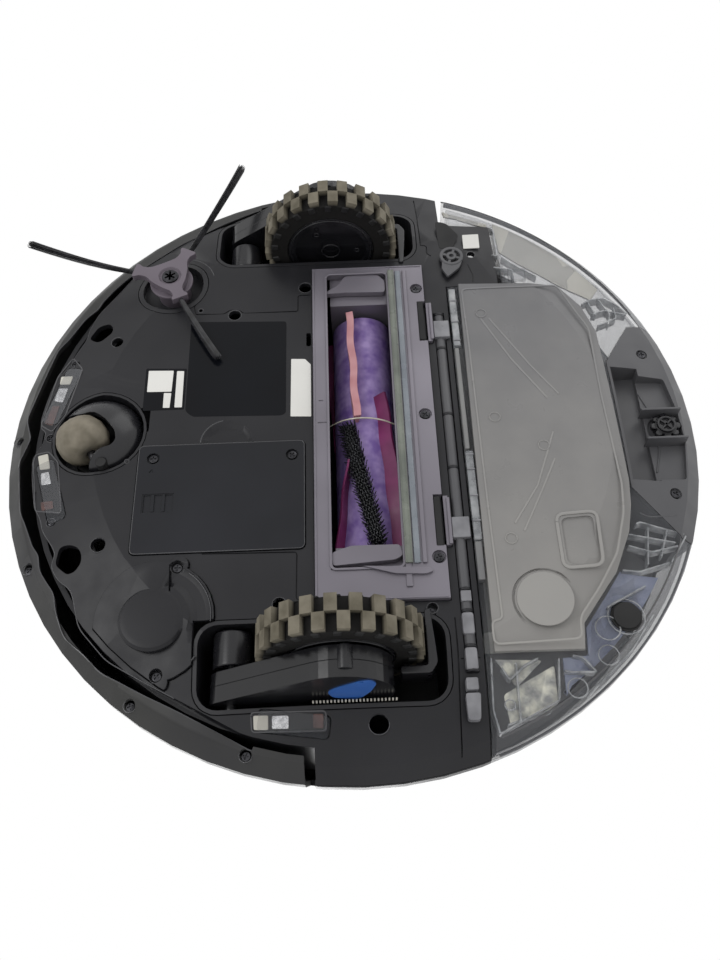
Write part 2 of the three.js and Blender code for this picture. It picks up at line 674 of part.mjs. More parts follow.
function makeYoke() {
  const steps = ball.steps;
  const dome = Array.from({ length: steps + 1 }, (_, i) => {
    const t = (i * Math.PI) / (2 * steps);
    return [yoke.radius * Math.sin(t), yoke.brim - (yoke.bulge + yoke.brim) * Math.cos(t)];
  });
  dome[0][0] = 0;
  const body = turned([...dome, [yoke.radius, yoke.crown], [0, yoke.crown]], middleSides);
  const stem = disc(0, 0, yoke.stem, yoke.crown - overrun, caster.ceiling + caster.wall, smallSides);
  const ballSpace = casterRod(caster.ball + runningGap, yoke.slot, middleSides);
  const far = caster.offset + caster.ball * 2;
  const outerSpace = box(caster.offset, far, -yoke.slot, yoke.slot, -caster.drop, ballZ + caster.ball + runningGap);
  const lowSpace = box(0, far, -yoke.slot, yoke.slot, -caster.drop, ballZ);
  const axleSpace = casterRod(yoke.axle + seatGap, yoke.axleHalf + seatGap, pinSides);
  const axleWay = casterRod(yoke.axle + seatGap, yoke.radius + overrun, pinSides);
  return body.add(stem).subtract(ballSpace).subtract(outerSpace).subtract(lowSpace)
    .subtract(axleSpace).subtract(axleWay);
}

function makeBall() {
  const arc = Array.from({ length: ball.steps + 1 }, (_, i) => {
    const t = -Math.PI / 2 + (i * Math.PI) / ball.steps;
    return [ball.face + (caster.ball - ball.face) * Math.cos(t), ball.halfWidth * Math.sin(t)];
  });
  const points = [[yoke.axle + seatGap, -ball.halfWidth], ...arc, [yoke.axle + seatGap, ball.halfWidth]];
  const closed = [...points, points[0]].map(([r, h]) => new THREE.Vector2(r, h));
  const geometry = new THREE.LatheGeometry(closed, smallSides);
  geometry.translate(caster.offset, 0, ballZ);
  return solidOf(geometry);
}

// An outline round two circles in Y and Z and their outer tangents.
function capsuleShape(y0, z0, r0, y1, z1, r1) {
  const length = Math.hypot(y1 - y0, z1 - z0);
  const heading = Math.atan2(z1 - z0, y1 - y0);
  const spread = Math.acos((r0 - r1) / length);
  const shape = new THREE.Shape();
  shape.absarc(y0, z0, r0, heading + spread, heading - spread + Math.PI * 2);
  shape.absarc(y1, z1, r1, heading - spread, heading + spread);
  return shape;
}

function makeArm(side, from, to) {
  const shape = capsuleShape(arm.pivotY, arm.pivotZ, arm.small, wheel.y, -wheel.drop, arm.big);
  const low = Math.min(side * from, side * to);
  const high = Math.max(side * from, side * to);
  const points = shape.extractPoints(smallSides / 2).shape.map((p) => [p.x, p.y]);
  const rings = [low, high].map((x) => points.map(([y, z]) => new THREE.Vector3(x, y, z)));
  return skin(rings);
}

const armSeam = arm.innerX + (arm.outerX - arm.innerX) * arm.seamShare;

function makeGearCase(side) {
  const body = makeArm(side, arm.innerX, armSeam);
  const pin = rodX(arm.pivotY, arm.pivotZ, pivot.radius, side * (well.inner - pivot.reach),
    side * (arm.innerX + overrun), pinSides);
  const boss = rodX(wheel.y, -wheel.drop, axle.radius, side * (wheel.innerX + tread.lipDepth * 2),
    side * (arm.innerX + overrun), smallSides);
  return body.add(pin).add(boss);
}

function makeGearCover(side) {
  const body = makeArm(side, armSeam + seatGap / 2, arm.outerX);
  const pin = rodX(arm.pivotY, arm.pivotZ, pivot.radius, side * (arm.outerX - overrun),
    side * (well.outer + pivot.reach - seatGap / 2), pinSides);
  return body.add(pin);
}

function makeHub(side) {
  const inner = side * wheel.innerX;
  const outer = side * (wheel.innerX + wheel.width);
  const face = side * (wheel.innerX + tread.lipDepth);
  const body = rodX(wheel.y, -wheel.drop, tread.hubRadius, inner, outer, middleSides);
  const dish = rodX(wheel.y, -wheel.drop, tread.lipRadius, inner - side * overrun, face, middleSides);
  const bore = rodX(wheel.y, -wheel.drop, axle.radius + seatGap, side * (wheel.innerX + tread.lipDepth * 1.5),
    outer + side * overrun, smallSides);
  return body.subtract(dish).subtract(bore);
}

// Two staggered rows of square lugs on a band.
function makeTyre(side) {
  const rim = wheel.radius - wheel.lugDepth;
  const hole = tread.hubRadius + seatGap;
  const rows = [0, 1].map((row) => {
    const outline = [];
    for (let i = 0; i < wheel.lugs; i += 1) {
      const pitch = (2 * Math.PI) / wheel.lugs;
      const start = (i + row * tread.rowShare) * pitch;
      const stop = start + pitch * tread.lugShare;
      for (const [radius, angle] of [[rim, start], [wheel.radius, start], [wheel.radius, stop], [rim, stop]]) {
        outline.push(new THREE.Vector2(radius * Math.cos(angle), radius * Math.sin(angle)));
      }
    }
    const shape = new THREE.Shape(outline);
    const depth = wheel.width / 2;
    const geometry = new THREE.ExtrudeGeometry(shape, { depth, bevelEnabled: false });
    geometry.translate(0, 0, row * depth);
    return solidOf(geometry);
  });
  const geometry = geometryOf(rows[0].add(rows[1]));
  geometry.rotateY(Math.PI / 2);
  const start = side > 0 ? wheel.innerX : -wheel.innerX - wheel.width;
  geometry.translate(start, wheel.y, -wheel.drop);
  const bore = rodX(wheel.y, -wheel.drop, hole, start - overrun, start + wheel.width + overrun, middleSides);
  return solidOf(geometry).subtract(bore);
}

function makeBrushFrame() {
  const low = -frame.proud;
  const notch = (side) => box(side * (latch.near - seatGap), side * (latch.far + seatGap),
    frame.rear - latch.notch, frame.rear + overrun, low - overrun, frame.top + overrun);
  return box(-frame.halfX, frame.halfX, frame.front, frame.rear, low, frame.top)
    .subtract(box(mouth.right, mouth.left, mouth.front, mouth.rear, low - overrun, frame.top + overrun))
    .subtract(notch(1)).subtract(notch(-1));
}

function makeChamber() {
  const low = frame.top + seatGap;
  const outer = box(-frame.halfX, frame.halfX, frame.front, frame.rear, low, chamber.top);
  const stub = box(-duct.halfX - wall, duct.halfX + wall, frame.rear - wall, seam.rearY - wall - seatGap,
    duct.low - wall, duct.high + wall);
  const roller = rodX(brush.y, brush.z, chamber.radius, -chamber.endX, chamber.endX, middleSides);
  const below = box(-chamber.endX, chamber.endX, brush.y - chamber.radius, brush.y + chamber.radius,
    -overrun, brush.z);
  const way = box(-duct.halfX, duct.halfX, brush.y, seam.rearY, duct.low, duct.high);
  const shaft = rodX(brush.y, brush.z, brush.journal + runningGap, -frame.halfX - overrun, -chamber.endX + overrun,
    pinSides);
  return outer.add(stub).subtract(roller).subtract(below).subtract(way).subtract(shaft);
}

function makeBarrel() {
  const body = rodX(brush.y, brush.z, brush.barrel, brush.right, brush.left, smallSides);
  const journals = rodX(brush.y, brush.z, brush.journal, -cap.shaftEnd, chamber.endX - overrun, pinSides);
  return body.add(journals);
}

// A point on the roll: a place along X, a radius and an angle from straight down toward the rear.
function onRoll(x, radius, degrees) {
  const angle = radians(degrees);
  return new THREE.Vector3(x, brush.y + radius * Math.sin(angle), brush.z - radius * Math.cos(angle));
}

// A fin that stands on the sleeve and winds from one angle to another.
function fin(x0, x1, start, end) {
  const rings = Array.from({ length: fins.steps + 1 }, (_, i) => {
    const t = i / fins.steps;
    const x = x0 + (x1 - x0) * t;
    const degrees = start + (end - start) * t;
    const foot = THREE.MathUtils.radToDeg(fins.thickness / brush.sleeve);
    const tip = THREE.MathUtils.radToDeg(fins.thickness / brush.tip) / 2;
    const root = (brush.barrel + brush.sleeve) / 2;
    return [
      onRoll(x, root, degrees - foot),
      onRoll(x, root, degrees + foot),
      onRoll(x, brush.tip, degrees + tip),
      onRoll(x, brush.tip, degrees - tip),
    ];
  });
  return skin(rings);
}

function makeSleeve() {
  const gap = seatGap / 2;
  const edge = gap * 2;
  const tube = rodX(brush.y, brush.z, brush.sleeve, brush.right + edge, brush.left - edge, smallSides);
  const bore = rodX(brush.y, brush.z, brush.barrel + gap, brush.right - overrun, brush.left + overrun, smallSides);
  let sleeve = tube;
  for (let i = 0; i < fins.count; i += 1) {
    const turn = (i * 360) / fins.count;
    const middle = bristle.from + bristle.width / 2;
    sleeve = sleeve.add(fin(middle, brush.left - edge, fins.leftEnd + turn, fins.leftStart + turn));
    sleeve = sleeve.add(fin(brush.right + edge, middle, fins.right + fins.sweep + turn, fins.right + turn));
  }
  const strip = stripSolid(brush.barrel - overrun, brush.sleeve + overrun, gap * 2);
  return sleeve.subtract(strip).subtract(bore);
}

// The bristle strip's angle at a share of its length.
const stripAngle = (t) => bristle.start + bristle.sweep * t;

// The winding strip between two radii, widened by a gap.
function stripSolid(low, high, gap) {
  const steps = fins.steps * 2;
  const rings = Array.from({ length: steps + 1 }, (_, i) => {
    const t = i / steps;
    const x = bristle.from + gap + (bristle.to - bristle.from - gap * 2) * t;
    const degrees = stripAngle(t);
    const spread = THREE.MathUtils.radToDeg((bristle.width / 2 + gap) / brush.sleeve);
    return [
      onRoll(x, low, degrees + spread),
      onRoll(x, low, degrees - spread),
      onRoll(x, high, degrees - spread),
      onRoll(x, high, degrees + spread),
    ];
  });
  return skin(rings);
}

function makeBristleStrip() {
  const low = brush.barrel + seatGap;
  const top = low + bristle.backing;
  let made = stripSolid(low, top, 0);
  const span = bristle.width - strand.thick * 2;
  const rowSolids = [];
  for (let i = 0; i < strand.stations; i += 1) {
    const t = (i + 0.5) / strand.stations;
    const x = bristle.from + (bristle.to - bristle.from) * t;
    const row = [];
    for (let k = 0; k < bristle.rows; k += 1) {
      const across = (k / (bristle.rows - 1) - 0.5) * span;
      const foot = stripAngle(t) + THREE.MathUtils.radToDeg(across / top);
      const tip = stripAngle(t) + THREE.MathUtils.radToDeg((across * (1 + strand.lean)) / top);
      const centres = [onRoll(x, (low + top) / 2, foot), onRoll(x, brush.tip, tip)];
      const along = new THREE.Vector3().subVectors(centres[1], centres[0]).normalize();
      const side = new THREE.Vector3(1, 0, 0);
      const other = new THREE.Vector3().crossVectors(along, side);
      row.push(strandAlong(centres, side, other, strand.thick));
    }
    rowSolids.push(join(row));
  }
  made = made.add(join(rowSolids));
  return made;
}

function makeEndCap(x0, x1) {
  const low = frame.top + seatGap;
  const bore = rodX(brush.y, brush.z, brush.journal + seatGap, Math.min(x0, x1) - overrun,
    Math.max(x0, x1) + overrun, pinSides);
  const block = box(x0, x1, cap.front, cap.rear, low, cap.top);
  const corner = rodX(brush.y, brush.z, chamber.radius - seatGap, Math.min(x0, x1), Math.max(x0, x1), middleSides);
  const below = box(x0, x1, cap.front, cap.rear, low, brush.z);
  return block.intersect(corner.add(below)).subtract(bore);
}

function makeBrushMotor() {
  const outer = well.inner - well.wall - seatGap;
  const plateX = frame.halfX + seatGap;
  const caseBody = box(-outer, -plateX, motor.y - motor.radius, frame.rear, motor.plateLow, motor.plateHigh)
    .subtract(box(-outer - overrun, -plateX + overrun, motor.y - motor.radius - overrun, frame.front,
      motor.z + motor.radius, motor.plateHigh + overrun));
  const drum = rodX(motor.y, motor.z, motor.radius, -outer, -motor.inner, smallSides);
  const socket = rodX(brush.y, brush.z, brush.journal + runningGap, -plateX + overrun, -cap.shaftEnd - seatGap,
    pinSides);
  return caseBody.add(drum).subtract(socket);
}

function makeLatchTab(side) {
  const front = frame.rear + seatGap;
  const rear = front + latch.depth;
  return box(side * latch.near, side * latch.far, front, rear, -latch.low, latch.high);
}

function makeSealStrip() {
  const high = -frame.proud - seatGap;
  return box(strip.right, strip.left, mouth.rear + seatGap, strip.rear, high - strip.depth, high);
}

function makeRod() {
  return rodX(rod.y, rod.z, rod.radius, rod.right, rod.left, smallSides);
}

function makeKnob() {
  const high = -seatGap;
  const low = high - knob.depth;
  const ring = disc(knob.x, knob.y, knob.radius, low, high, smallSides)
    .subtract(disc(knob.x, knob.y, knob.radius - wall, low - overrun, high - knob.depth / 2, smallSides));
  const post = disc(knob.x, knob.y, knob.stem, low, floorThickness, pinSides);
  const tail = box(knob.x - knob.radius - knob.tail / 2, knob.x - knob.radius + overrun,
    knob.y - knob.tailWidth / 2, knob.y + knob.tailWidth / 2, low, high);
  return join([ring, post, tail]);
}

// The tank module's plan, drawn in by an inset, between two heights.
function tankRegion(inset, z0, z1) {
  const far = bodyRadius + overrun;
  const main = box(tank.right + inset, tank.wing - inset, tank.front + inset, far, z0, z1);
  const left = box(0, far, tank.wingY + inset, far, z0, z1);
  const rim = box(tank.rimX + inset, far, tank.rimY + inset, tank.wingY + inset + overrun, z0, z1);
  return join([main, left, rim]).intersect(envelope(inset, 0, bodyHeight).translate([0, 0, inset]));
}

const scaled = (shares) => shares.map(([x, y]) => [x * bodyRadius, y * bodyRadius]);
const doorOutline = scaled(doorOutlineShares).reverse();

function shrunk(outline, share) {
  const cx = outline.reduce((sum, [x]) => sum + x, 0) / outline.length;
  const cy = outline.reduce((sum, [, y]) => sum + y, 0) / outline.length;
  return outline.map(([x, y]) => [cx + (x - cx) * share, cy + (y - cy) * share]);
}

const gripOutline = scaled(gripOutlineShares);
const plugSeat = floorHeight(Math.hypot(plug.x, plug.y));

function makeTankShell() {
  const gripSpace = plate(shrunk(gripOutline, 1 + (seatGap * 4) / bodyRadius).reverse(), -overrun, bodyHeight);
  const opening = plate(shrunk(doorOutline, door.openingShare), -overrun, seatTop + overrun);
  const ductHole = box(-duct.halfX, duct.halfX, tank.front - overrun, tank.front + wall * 2, duct.low, duct.high);
  const plugHole = disc(plug.x, plug.y, plug.stem + seatGap, -overrun, plugSeat + wall * 2, smallSides);
  const boss = disc(plug.x, plug.y, plug.radius + wall * 2, plugSeat, plugSeat + wall, middleSides)
    .intersect(tankRegion(0, 0, tank.height));
  return tankRegion(0, 0, tank.height)
    .subtract(tankRegion(wall, wall, tank.height + overrun))
    .subtract(disc(plug.x, plug.y, plug.radius + wall / 2, -overrun, plugSeat, smallSides))
    .add(boss)
    .subtract(opening)
    .subtract(ductHole)
    .subtract(plugHole)
    .subtract(gripSpace);
}

function makeTankLid() {
  const low = tank.height + seatGap;
  return tankRegion(0, low, seam.tankTop);
}

function makeGrip() {
  const body = plate([...gripOutline].reverse(), 0, tank.height).intersect(envelope(0, 0, tank.height));
  const recess = box(grip.recessRight, grip.recessLeft, grip.recessFront, grip.recessRear,
    -overrun, grip.recessDepth);
  const hollow = plate(shrunk([...gripOutline], 1 - (wall * 5) / bodyRadius).reverse(), grip.roof, bodyHeight)
    .intersect(envelope(wall, grip.roof, bodyHeight));
  const valveHole = valveShape(valve.radius + runningGap, -overrun, valve.high + seatGap);
  return body.subtract(recess).subtract(hollow).subtract(valveHole);
}

function valveShape(radius, z0, z1) {
  return disc(valve.x, valve.y, radius, z0, z1, smallSides);
}

function makeValveKnob() {
  const steps = valve.lobes * 4;
  const outline = Array.from({ length: steps }, (_, i) => {
    const angle = (i * 2 * Math.PI) / steps;
    const radius = valve.radius - valve.lobeDepth * (0.5 - 0.5 * Math.cos(valve.lobes * angle));
    return [valve.x + radius * Math.cos(angle), valve.y + radius * Math.sin(angle)];
  });
  return plate(outline, valve.low, valve.high);
}

function makePlug() {
  const high = plugSeat - seatGap;
  const flange = disc(plug.x, plug.y, plug.radius, high - plug.flange, high, smallSides);
  const stem = disc(plug.x, plug.y, plug.stem, high - plug.flange / 2, high + plug.depth, smallSides);
  return flange.add(stem);
}

function makeDoor() {
  return plate(doorOutline, -door.proud - overrun, seatTop)
    .intersect(floorSheet(-door.proud - seatGap, -seatGap));
}

function makeCatch() {
  const high = -seatGap;
  return box(catchClip.inner, catchClip.outer, catchClip.front, catchClip.rear, high - catchClip.depth, high);
}

function makeFilter() {
  const front = tank.front + wall + seatGap;
  return box(filter.right, filter.left, front, front + filter.depth, filter.low, tank.height - seatGap);
}

add("base_pan", makeBasePan(), "shell");
add("rear_bulkhead", makeBulkhead(), "shell");
add("side_brush_cup", makeSweeperCup(), "shell");
add("top_cover", makeTopCover(), "shell");
add("bumper", makeBumper(), "shell");
add("turret_housing", makeTurret(), "gloss");
add("lidar_rotor", makeRotor(), "gloss");
const buttonLow = bodyHeight - button.depth;
add("clean_button", buttonBlock(1, 0, buttonLow, bodyHeight + button.proud), "gloss");
add("dock_button", buttonBlock(-1, 0, buttonLow, bodyHeight + button.proud), "gloss");
add("main_board", makeBoard(), "board");
add("battery_pack", makeBatteryPack(), "cells");
add("battery_cover", makeBatteryCover(), "shell");
add("blank_cover", makeBlankCover(), "shell");
add("side_brush_motor", makeSweepMotor(), "steel");
add("side_brush_hub", makeSweeperHub(), "hubMauve");
tuftDirectionDegrees.forEach((_, i) => add(`bristle_tuft_${i + 1}`, makeTuft(i), "bristle"));
add("caster_socket", makeCasterSocket(), "shell");
add("caster_yoke", makeYoke(), "gloss", casterGroup);
add("caster_wheel", makeBall(), "casterBall", casterGroup);
add("caster_axle", casterRod(yoke.axle, yoke.axleHalf, pinSides), "steel", casterGroup);
for (const [side, word] of [[1, "left"], [-1, "right"]]) {
  add(`wheel_well_${word}`, makeWheelWell(side), "shell");
  add(`gearbox_case_${word}`, makeGearCase(side), "gloss");
  add(`gearbox_cover_${word}`, makeGearCover(side), "gloss");
  add(`wheel_hub_${word}`, makeHub(side), "gloss");
  add(`tyre_${word}`, makeTyre(side), "treadRubber");
  add(`latch_tab_${word}`, makeLatchTab(side), "mauve");
}
add("brush_frame", makeBrushFrame(), "mauve");
add("brush_chamber", makeChamber(), "shell");
add("brush_barrel", makeBarrel(), "barrel");
add("brush_sleeve", makeSleeve(), "fin");
add("bristle_strip", makeBristleStrip(), "bristle");
add("end_cap_left", makeEndCap(brush.left + overrun, chamber.endX - seatGap), "mauve");
add("end_cap_right", makeEndCap(-chamber.endX + seatGap, brush.right - overrun), "mauve");
add("brush_motor", makeBrushMotor(), "steel");
add("seal_strip", makeSealStrip(), "sealGrey");
add("hinge_rod", makeRod(), "rearGrey");
add("fan_housing", makeFanHousing(), "rearGrey");
add("fan_impeller", makeImpeller(), "rearGrey");
add("release_knob", makeKnob(), "rearGrey");
sensorPlaces.forEach((place) => {
  const block = sensorBlock(place, 0, -overrun, sensor.top);
  add(place.name, block.intersect(floorSheet(-sensor.proud, sensor.depth)), "clear");
});
add("tank_shell", makeTankShell(), "clear");
add("tank_lid", makeTankLid(), "rearGrey");
add("bin_door", makeDoor(), "smoke");
add("door_catch", makeCatch(), "clear");
add("grip_block", makeGrip(), "rearGrey");
add("valve_knob", makeValveKnob(), "gloss");
add("drain_plug", makePlug(), "rubber");
add("filter_pack", makeFilter(), "filterWhite");

export default robot;
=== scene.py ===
"""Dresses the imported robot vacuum, seen from its underside, with detailed pieces and finishes.

Sizes are millimetres above the flat of the base plate until a piece is finished. The robot stands upright:
the bumper faces -Y, the tank is at +Y and the robot's left wheel is at +X.
"""

import json
import logging
import math
from collections.abc import Iterable, Sequence
from dataclasses import dataclass
from enum import Enum

import bmesh
import bpy
from mathutils import Matrix, Vector

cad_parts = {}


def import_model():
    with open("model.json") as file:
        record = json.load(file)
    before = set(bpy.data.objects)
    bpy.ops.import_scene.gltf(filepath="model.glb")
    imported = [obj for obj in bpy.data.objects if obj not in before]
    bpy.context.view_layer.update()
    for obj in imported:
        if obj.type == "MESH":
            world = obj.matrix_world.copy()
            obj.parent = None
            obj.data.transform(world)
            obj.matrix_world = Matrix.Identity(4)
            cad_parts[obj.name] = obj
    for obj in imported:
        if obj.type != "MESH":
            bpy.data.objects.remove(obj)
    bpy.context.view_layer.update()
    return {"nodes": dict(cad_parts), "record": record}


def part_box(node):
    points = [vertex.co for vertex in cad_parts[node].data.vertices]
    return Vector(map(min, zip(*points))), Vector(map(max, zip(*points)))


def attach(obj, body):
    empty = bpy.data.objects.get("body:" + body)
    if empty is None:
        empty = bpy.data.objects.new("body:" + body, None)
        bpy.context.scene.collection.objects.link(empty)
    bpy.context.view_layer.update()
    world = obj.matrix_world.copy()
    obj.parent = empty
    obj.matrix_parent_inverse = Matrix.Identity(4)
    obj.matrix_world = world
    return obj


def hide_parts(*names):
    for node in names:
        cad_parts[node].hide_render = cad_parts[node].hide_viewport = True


log = logging.getLogger("robot_vacuum")
FRAME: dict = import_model()

MILLIMETRE = 0.001
BASE_HEIGHT = 39.8

# Points of a new shape nearer than this are merged, and shorter edges dropped, in millimetres.
MERGE_DISTANCE = 1e-4
SLIVER_LENGTH = 1e-5
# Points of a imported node's loose triangles nearer than this are merged.
NODE_MERGE_DISTANCE = 1e-3
# The turn and the share that spread strands evenly without a pattern.
GOLDEN_ANGLE = 2.399963
GOLDEN_SHARE = 0.618034

Point = tuple[float, float]
Point3 = tuple[float, float, float]
Outline = Sequence[Point]

# Where the sweeper turns, and where the drive wheels' axle is in Y and height.
SWEEPER: Point = (90.0, -93.0)
AXLE: Point = (-7.8, -4.3)


class Operation(Enum):
    """What a boolean modifier does with the other solids."""

    CUT = "DIFFERENCE"
    ADD = "UNION"


@dataclass(frozen=True)
class BodyProfile:
    """The underside's profile: a flat middle, a sloped ring and a steeper edge."""

    flat_radius: float = 125.0
    rim_radius: float = 163.0
    rim_height: float = 8.0

    def floor_at(self, radius: float) -> float:
        """The height of the floor's face at a distance from the middle.

        Args:
            radius: Distance from the body's axis.

        Returns:
            The height of the underside's face there.
        """
        if radius > self.rim_radius:
            return self.rim_height + radius - self.rim_radius
        share = max(0.0, radius - self.flat_radius) / (self.rim_radius - self.flat_radius)
        return self.rim_height * share


BODY = BodyProfile()


def floor_of(place: Point) -> float:
    """The height of the underside's face at a place."""
    return BODY.floor_at(math.hypot(*place))


def polar(centre: Point, radius: float, degrees: float) -> Point:
    """A point at a distance and direction from a centre.

    Args:
        centre: The centre in X and Y.
        radius: The distance.
        degrees: The direction, counted from +X.

    Returns:
        The point.
    """
    angle = math.radians(degrees)
    return centre[0] + radius * math.cos(angle), centre[1] + radius * math.sin(angle)


def arc(centre: Point, radius: float, start: float, stop: float, steps: int) -> list[Point]:
    """Points along an arc.

    Args:
        centre: The centre in X and Y.
        radius: The radius.
        start: First direction in degrees.
        stop: Last direction in degrees.
        steps: How many stretches the arc has.

    Returns:
        The points, both ends among them.
    """
    return [polar(centre, radius, start + (stop - start) * i / steps) for i in range(steps + 1)]


def rounded(x0: float, x1: float, y0: float, y1: float, corner: float, steps: int = 5) -> list[Point]:
    """A rectangle with round corners.

    Args:
        x0: Lowest X.
        x1: Highest X.
        y0: Lowest Y.
        y1: Highest Y.
        corner: Corner radius.
        steps: Stretches in each corner.

    Returns:
        The outline.
    """
    corners = [((x1 - corner, y0 + corner), -90), ((x1 - corner, y1 - corner), 0),
               ((x0 + corner, y1 - corner), 90), ((x0 + corner, y0 + corner), 180)]
    return [p for centre, start in corners for p in arc(centre, corner, start, start + 90, steps)]


def softened(points: Outline, corner: float, steps: int = 4) -> list[Point]:
    """An outline with each corner rounded off.

    Args:
        points: The outline's corners in order.
        corner: How far before and after each corner the rounding reaches.
        steps: Stretches in each rounding.

    Returns:
        The rounded outline.
    """
    made: list[Point] = []
    count = len(points)
    for i, here in enumerate(points):
        before, after = Vector(points[i - 1]), Vector(points[(i + 1) % count])
        middle = Vector(here)
        reach = min(corner, (before - middle).length * 0.45, (after - middle).length * 0.45)
        start = middle + (before - middle).normalized() * reach
        stop = middle + (after - middle).normalized() * reach
        for k in range(steps + 1):
            t = k / steps
            p = start * (1 - t) ** 2 + middle * (2 * t * (1 - t)) + stop * t ** 2
            made.append((p.x, p.y))
    return made


def band(points: Outline, width: float) -> list[Point]:
    """The outline of a stroke of even width along an open line.

    Args:
        points: The line's points.
        width: The stroke's width.

    Returns:
        The closed outline.
    """
    left: list[Point] = []
    right: list[Point] = []
    for i, here in enumerate(points):
        before = Vector(points[max(i - 1, 0)])
        after = Vector(points[min(i + 1, len(points) - 1)])
        heading = (after - before).normalized()
        side = Vector((-heading.y, heading.x)) * (width / 2)
        left.append((here[0] + side.x, here[1] + side.y))
        right.append((here[0] - side.x, here[1] - side.y))
    return left + right[::-1]


class Solid:
    """A closed mesh being shaped, in millimetres above the base plate."""

    def __init__(self, mesh: bmesh.types.BMesh | None = None) -> None:
        """Starts from a bmesh, or from an empty one."""
        self.mesh = mesh if mesh is not None else bmesh.new()

    @classmethod
    def plate(cls, outline: Outline, low: float, high: float, holes: Sequence[Outline] = ()) -> "Solid":
        """A flat outline raised between two heights.

        Args:
            outline: The outer edge.
            low: Lower height.
            high: Upper height.
            holes: Outlines left open.

        Returns:
            The solid.
        """
        mesh = bmesh.new()
        edges = []
        for loop in (outline, *holes):
            verts = [mesh.verts.new((x, y, low)) for x, y in loop]
            edges += [mesh.edges.new((a, b)) for a, b in zip(verts, verts[1:] + verts[:1])]
        if holes:
            bmesh.ops.triangle_fill(mesh, edges=edges, use_beauty=True)
        else:
            bmesh.ops.contextual_create(mesh, geom=edges)
        return cls(mesh).thickened(high - low)

    @classmethod
    def ribbon(cls, points: Outline, width: float, low: float, high: float) -> "Solid":
        """A strip of even width laid along an open line, each stretch a face of its own.

        Args:
            points: The line's points.
            width: The strip's width.
            low: Lower height.
            high: Upper height.

        Returns:
            The solid.
        """
        sides = band(points, width)
        left, right = sides[:len(points)], sides[len(points):][::-1]
        mesh = bmesh.new()
        pair = [mesh.verts.new((*left[0], low)), mesh.verts.new((*right[0], low))]
        edge = mesh.edges.new(pair)
        for a, b in zip(left[1:], right[1:]):
            made = bmesh.ops.extrude_edge_only(mesh, edges=[edge])["geom"]
            edge = next(item for item in made if isinstance(item, bmesh.types.BMEdge))
            ends = sorted(edge.verts, key=lambda v: (v.co.xy - pair[0].co.xy).length)
            for vert, place in zip(ends, (a, b)):
                vert.co.x, vert.co.y = place
            pair = ends
        return cls(mesh).thickened(high - low)

    def thickened(self, height: float) -> "Solid":
        """Raises a flat sheet into a closed solid.

        Args:
            height: How far the sheet is raised.

        Returns:
            The same solid.
        """
        made = bmesh.ops.extrude_face_region(self.mesh, geom=self.mesh.faces[:])
        lifted = [item for item in made["geom"] if isinstance(item, bmesh.types.BMVert)]
        bmesh.ops.translate(self.mesh, verts=lifted, vec=(0, 0, height))
        return self.closed()

    @classmethod
    def ring(cls, centre: Point, radius: float, low: float, thick: float = 0.35, sides: int = 40,
             tube: int = 8) -> "Solid":
        """A thin round bead about an upright axis.

        Args:
            centre: The axis in X and Y.
            radius: The bead's mean radius.
            low: The height of the bead's middle.
            thick: The radius of its section.
            sides: Steps round the axis.
            tube: Steps round its section.

        Returns:
            The solid.
        """
        profile = [polar((radius, low), thick, 360 * i / tube) for i in range(tube)]
        return cls.turned(profile, sides).moved(*centre)

    @classmethod
    def disc(cls, centre: Point, radius: float, low: float, high: float, sides: int = 48,
             top_radius: float | None = None) -> "Solid":
        """An upright cylinder or cone.

        Args:
            centre: The axis in X and Y.
            radius: The radius at the lower end.
            low: Lower height.
            high: Upper height.
            sides: How many sides it has.
            top_radius: The radius at the upper end, if it differs.

        Returns:
            The solid.
        """
        mesh = bmesh.new()
        place = Matrix.Translation((centre[0], centre[1], (low + high) / 2))
        upper = radius if top_radius is None else top_radius
        bmesh.ops.create_cone(mesh, cap_ends=True, segments=sides, radius1=radius, radius2=upper,
                              depth=high - low, matrix=place)
        return cls(mesh).closed()

    @classmethod
    def box(cls, x0: float, x1: float, y0: float, y1: float, z0: float, z1: float) -> "Solid":
        """A block between two corners.

        Args:
            x0: Lowest X.
            x1: Highest X.
            y0: Lowest Y.
            y1: Highest Y.
            z0: Lowest height.
            z1: Highest height.

        Returns:
            The solid.
        """
        mesh = bmesh.new()
        size = Matrix.Diagonal((x1 - x0, y1 - y0, z1 - z0, 1))
        place = Matrix.Translation(((x0 + x1) / 2, (y0 + y1) / 2, (z0 + z1) / 2))
        bmesh.ops.create_cube(mesh, size=1, matrix=place @ size)
        return cls(mesh).closed()

    @classmethod
    def turned(cls, profile: Outline, sides: int = 192) -> "Solid":
        """A solid of revolution about the upright axis.

        Args:
            profile: Radius and height pairs; it starts and ends on the axis, or closes on itself.
            sides: Steps round the axis.

        Returns:
            The solid.
        """
        mesh = bmesh.new()
        verts = [mesh.verts.new((r, 0, h)) for r, h in profile]
        pairs = list(zip(verts, verts[1:]))
        if profile[0][0] > 0:
            pairs.append((verts[-1], verts[0]))
        edges = [mesh.edges.new(pair) for pair in pairs]
        bmesh.ops.spin(mesh, geom=[*verts, *edges], cent=(0, 0, 0), axis=(0, 0, 1),
                       angle=math.tau, steps=sides, use_merge=True)
        return cls(mesh).closed()

    def closed(self) -> "Solid":
        """Merges doubled points and turns every face outwards.

        Returns:
            The same solid.
        """
        bmesh.ops.remove_doubles(self.mesh, verts=self.mesh.verts, dist=MERGE_DISTANCE)
        bmesh.ops.dissolve_degenerate(self.mesh, dist=SLIVER_LENGTH, edges=self.mesh.edges)
        bmesh.ops.recalc_face_normals(self.mesh, faces=self.mesh.faces)
        return self

    def placed(self, matrix: Matrix) -> "Solid":
        """Moves the whole solid by a matrix."""
        bmesh.ops.transform(self.mesh, matrix=matrix, verts=self.mesh.verts)
        return self.closed()

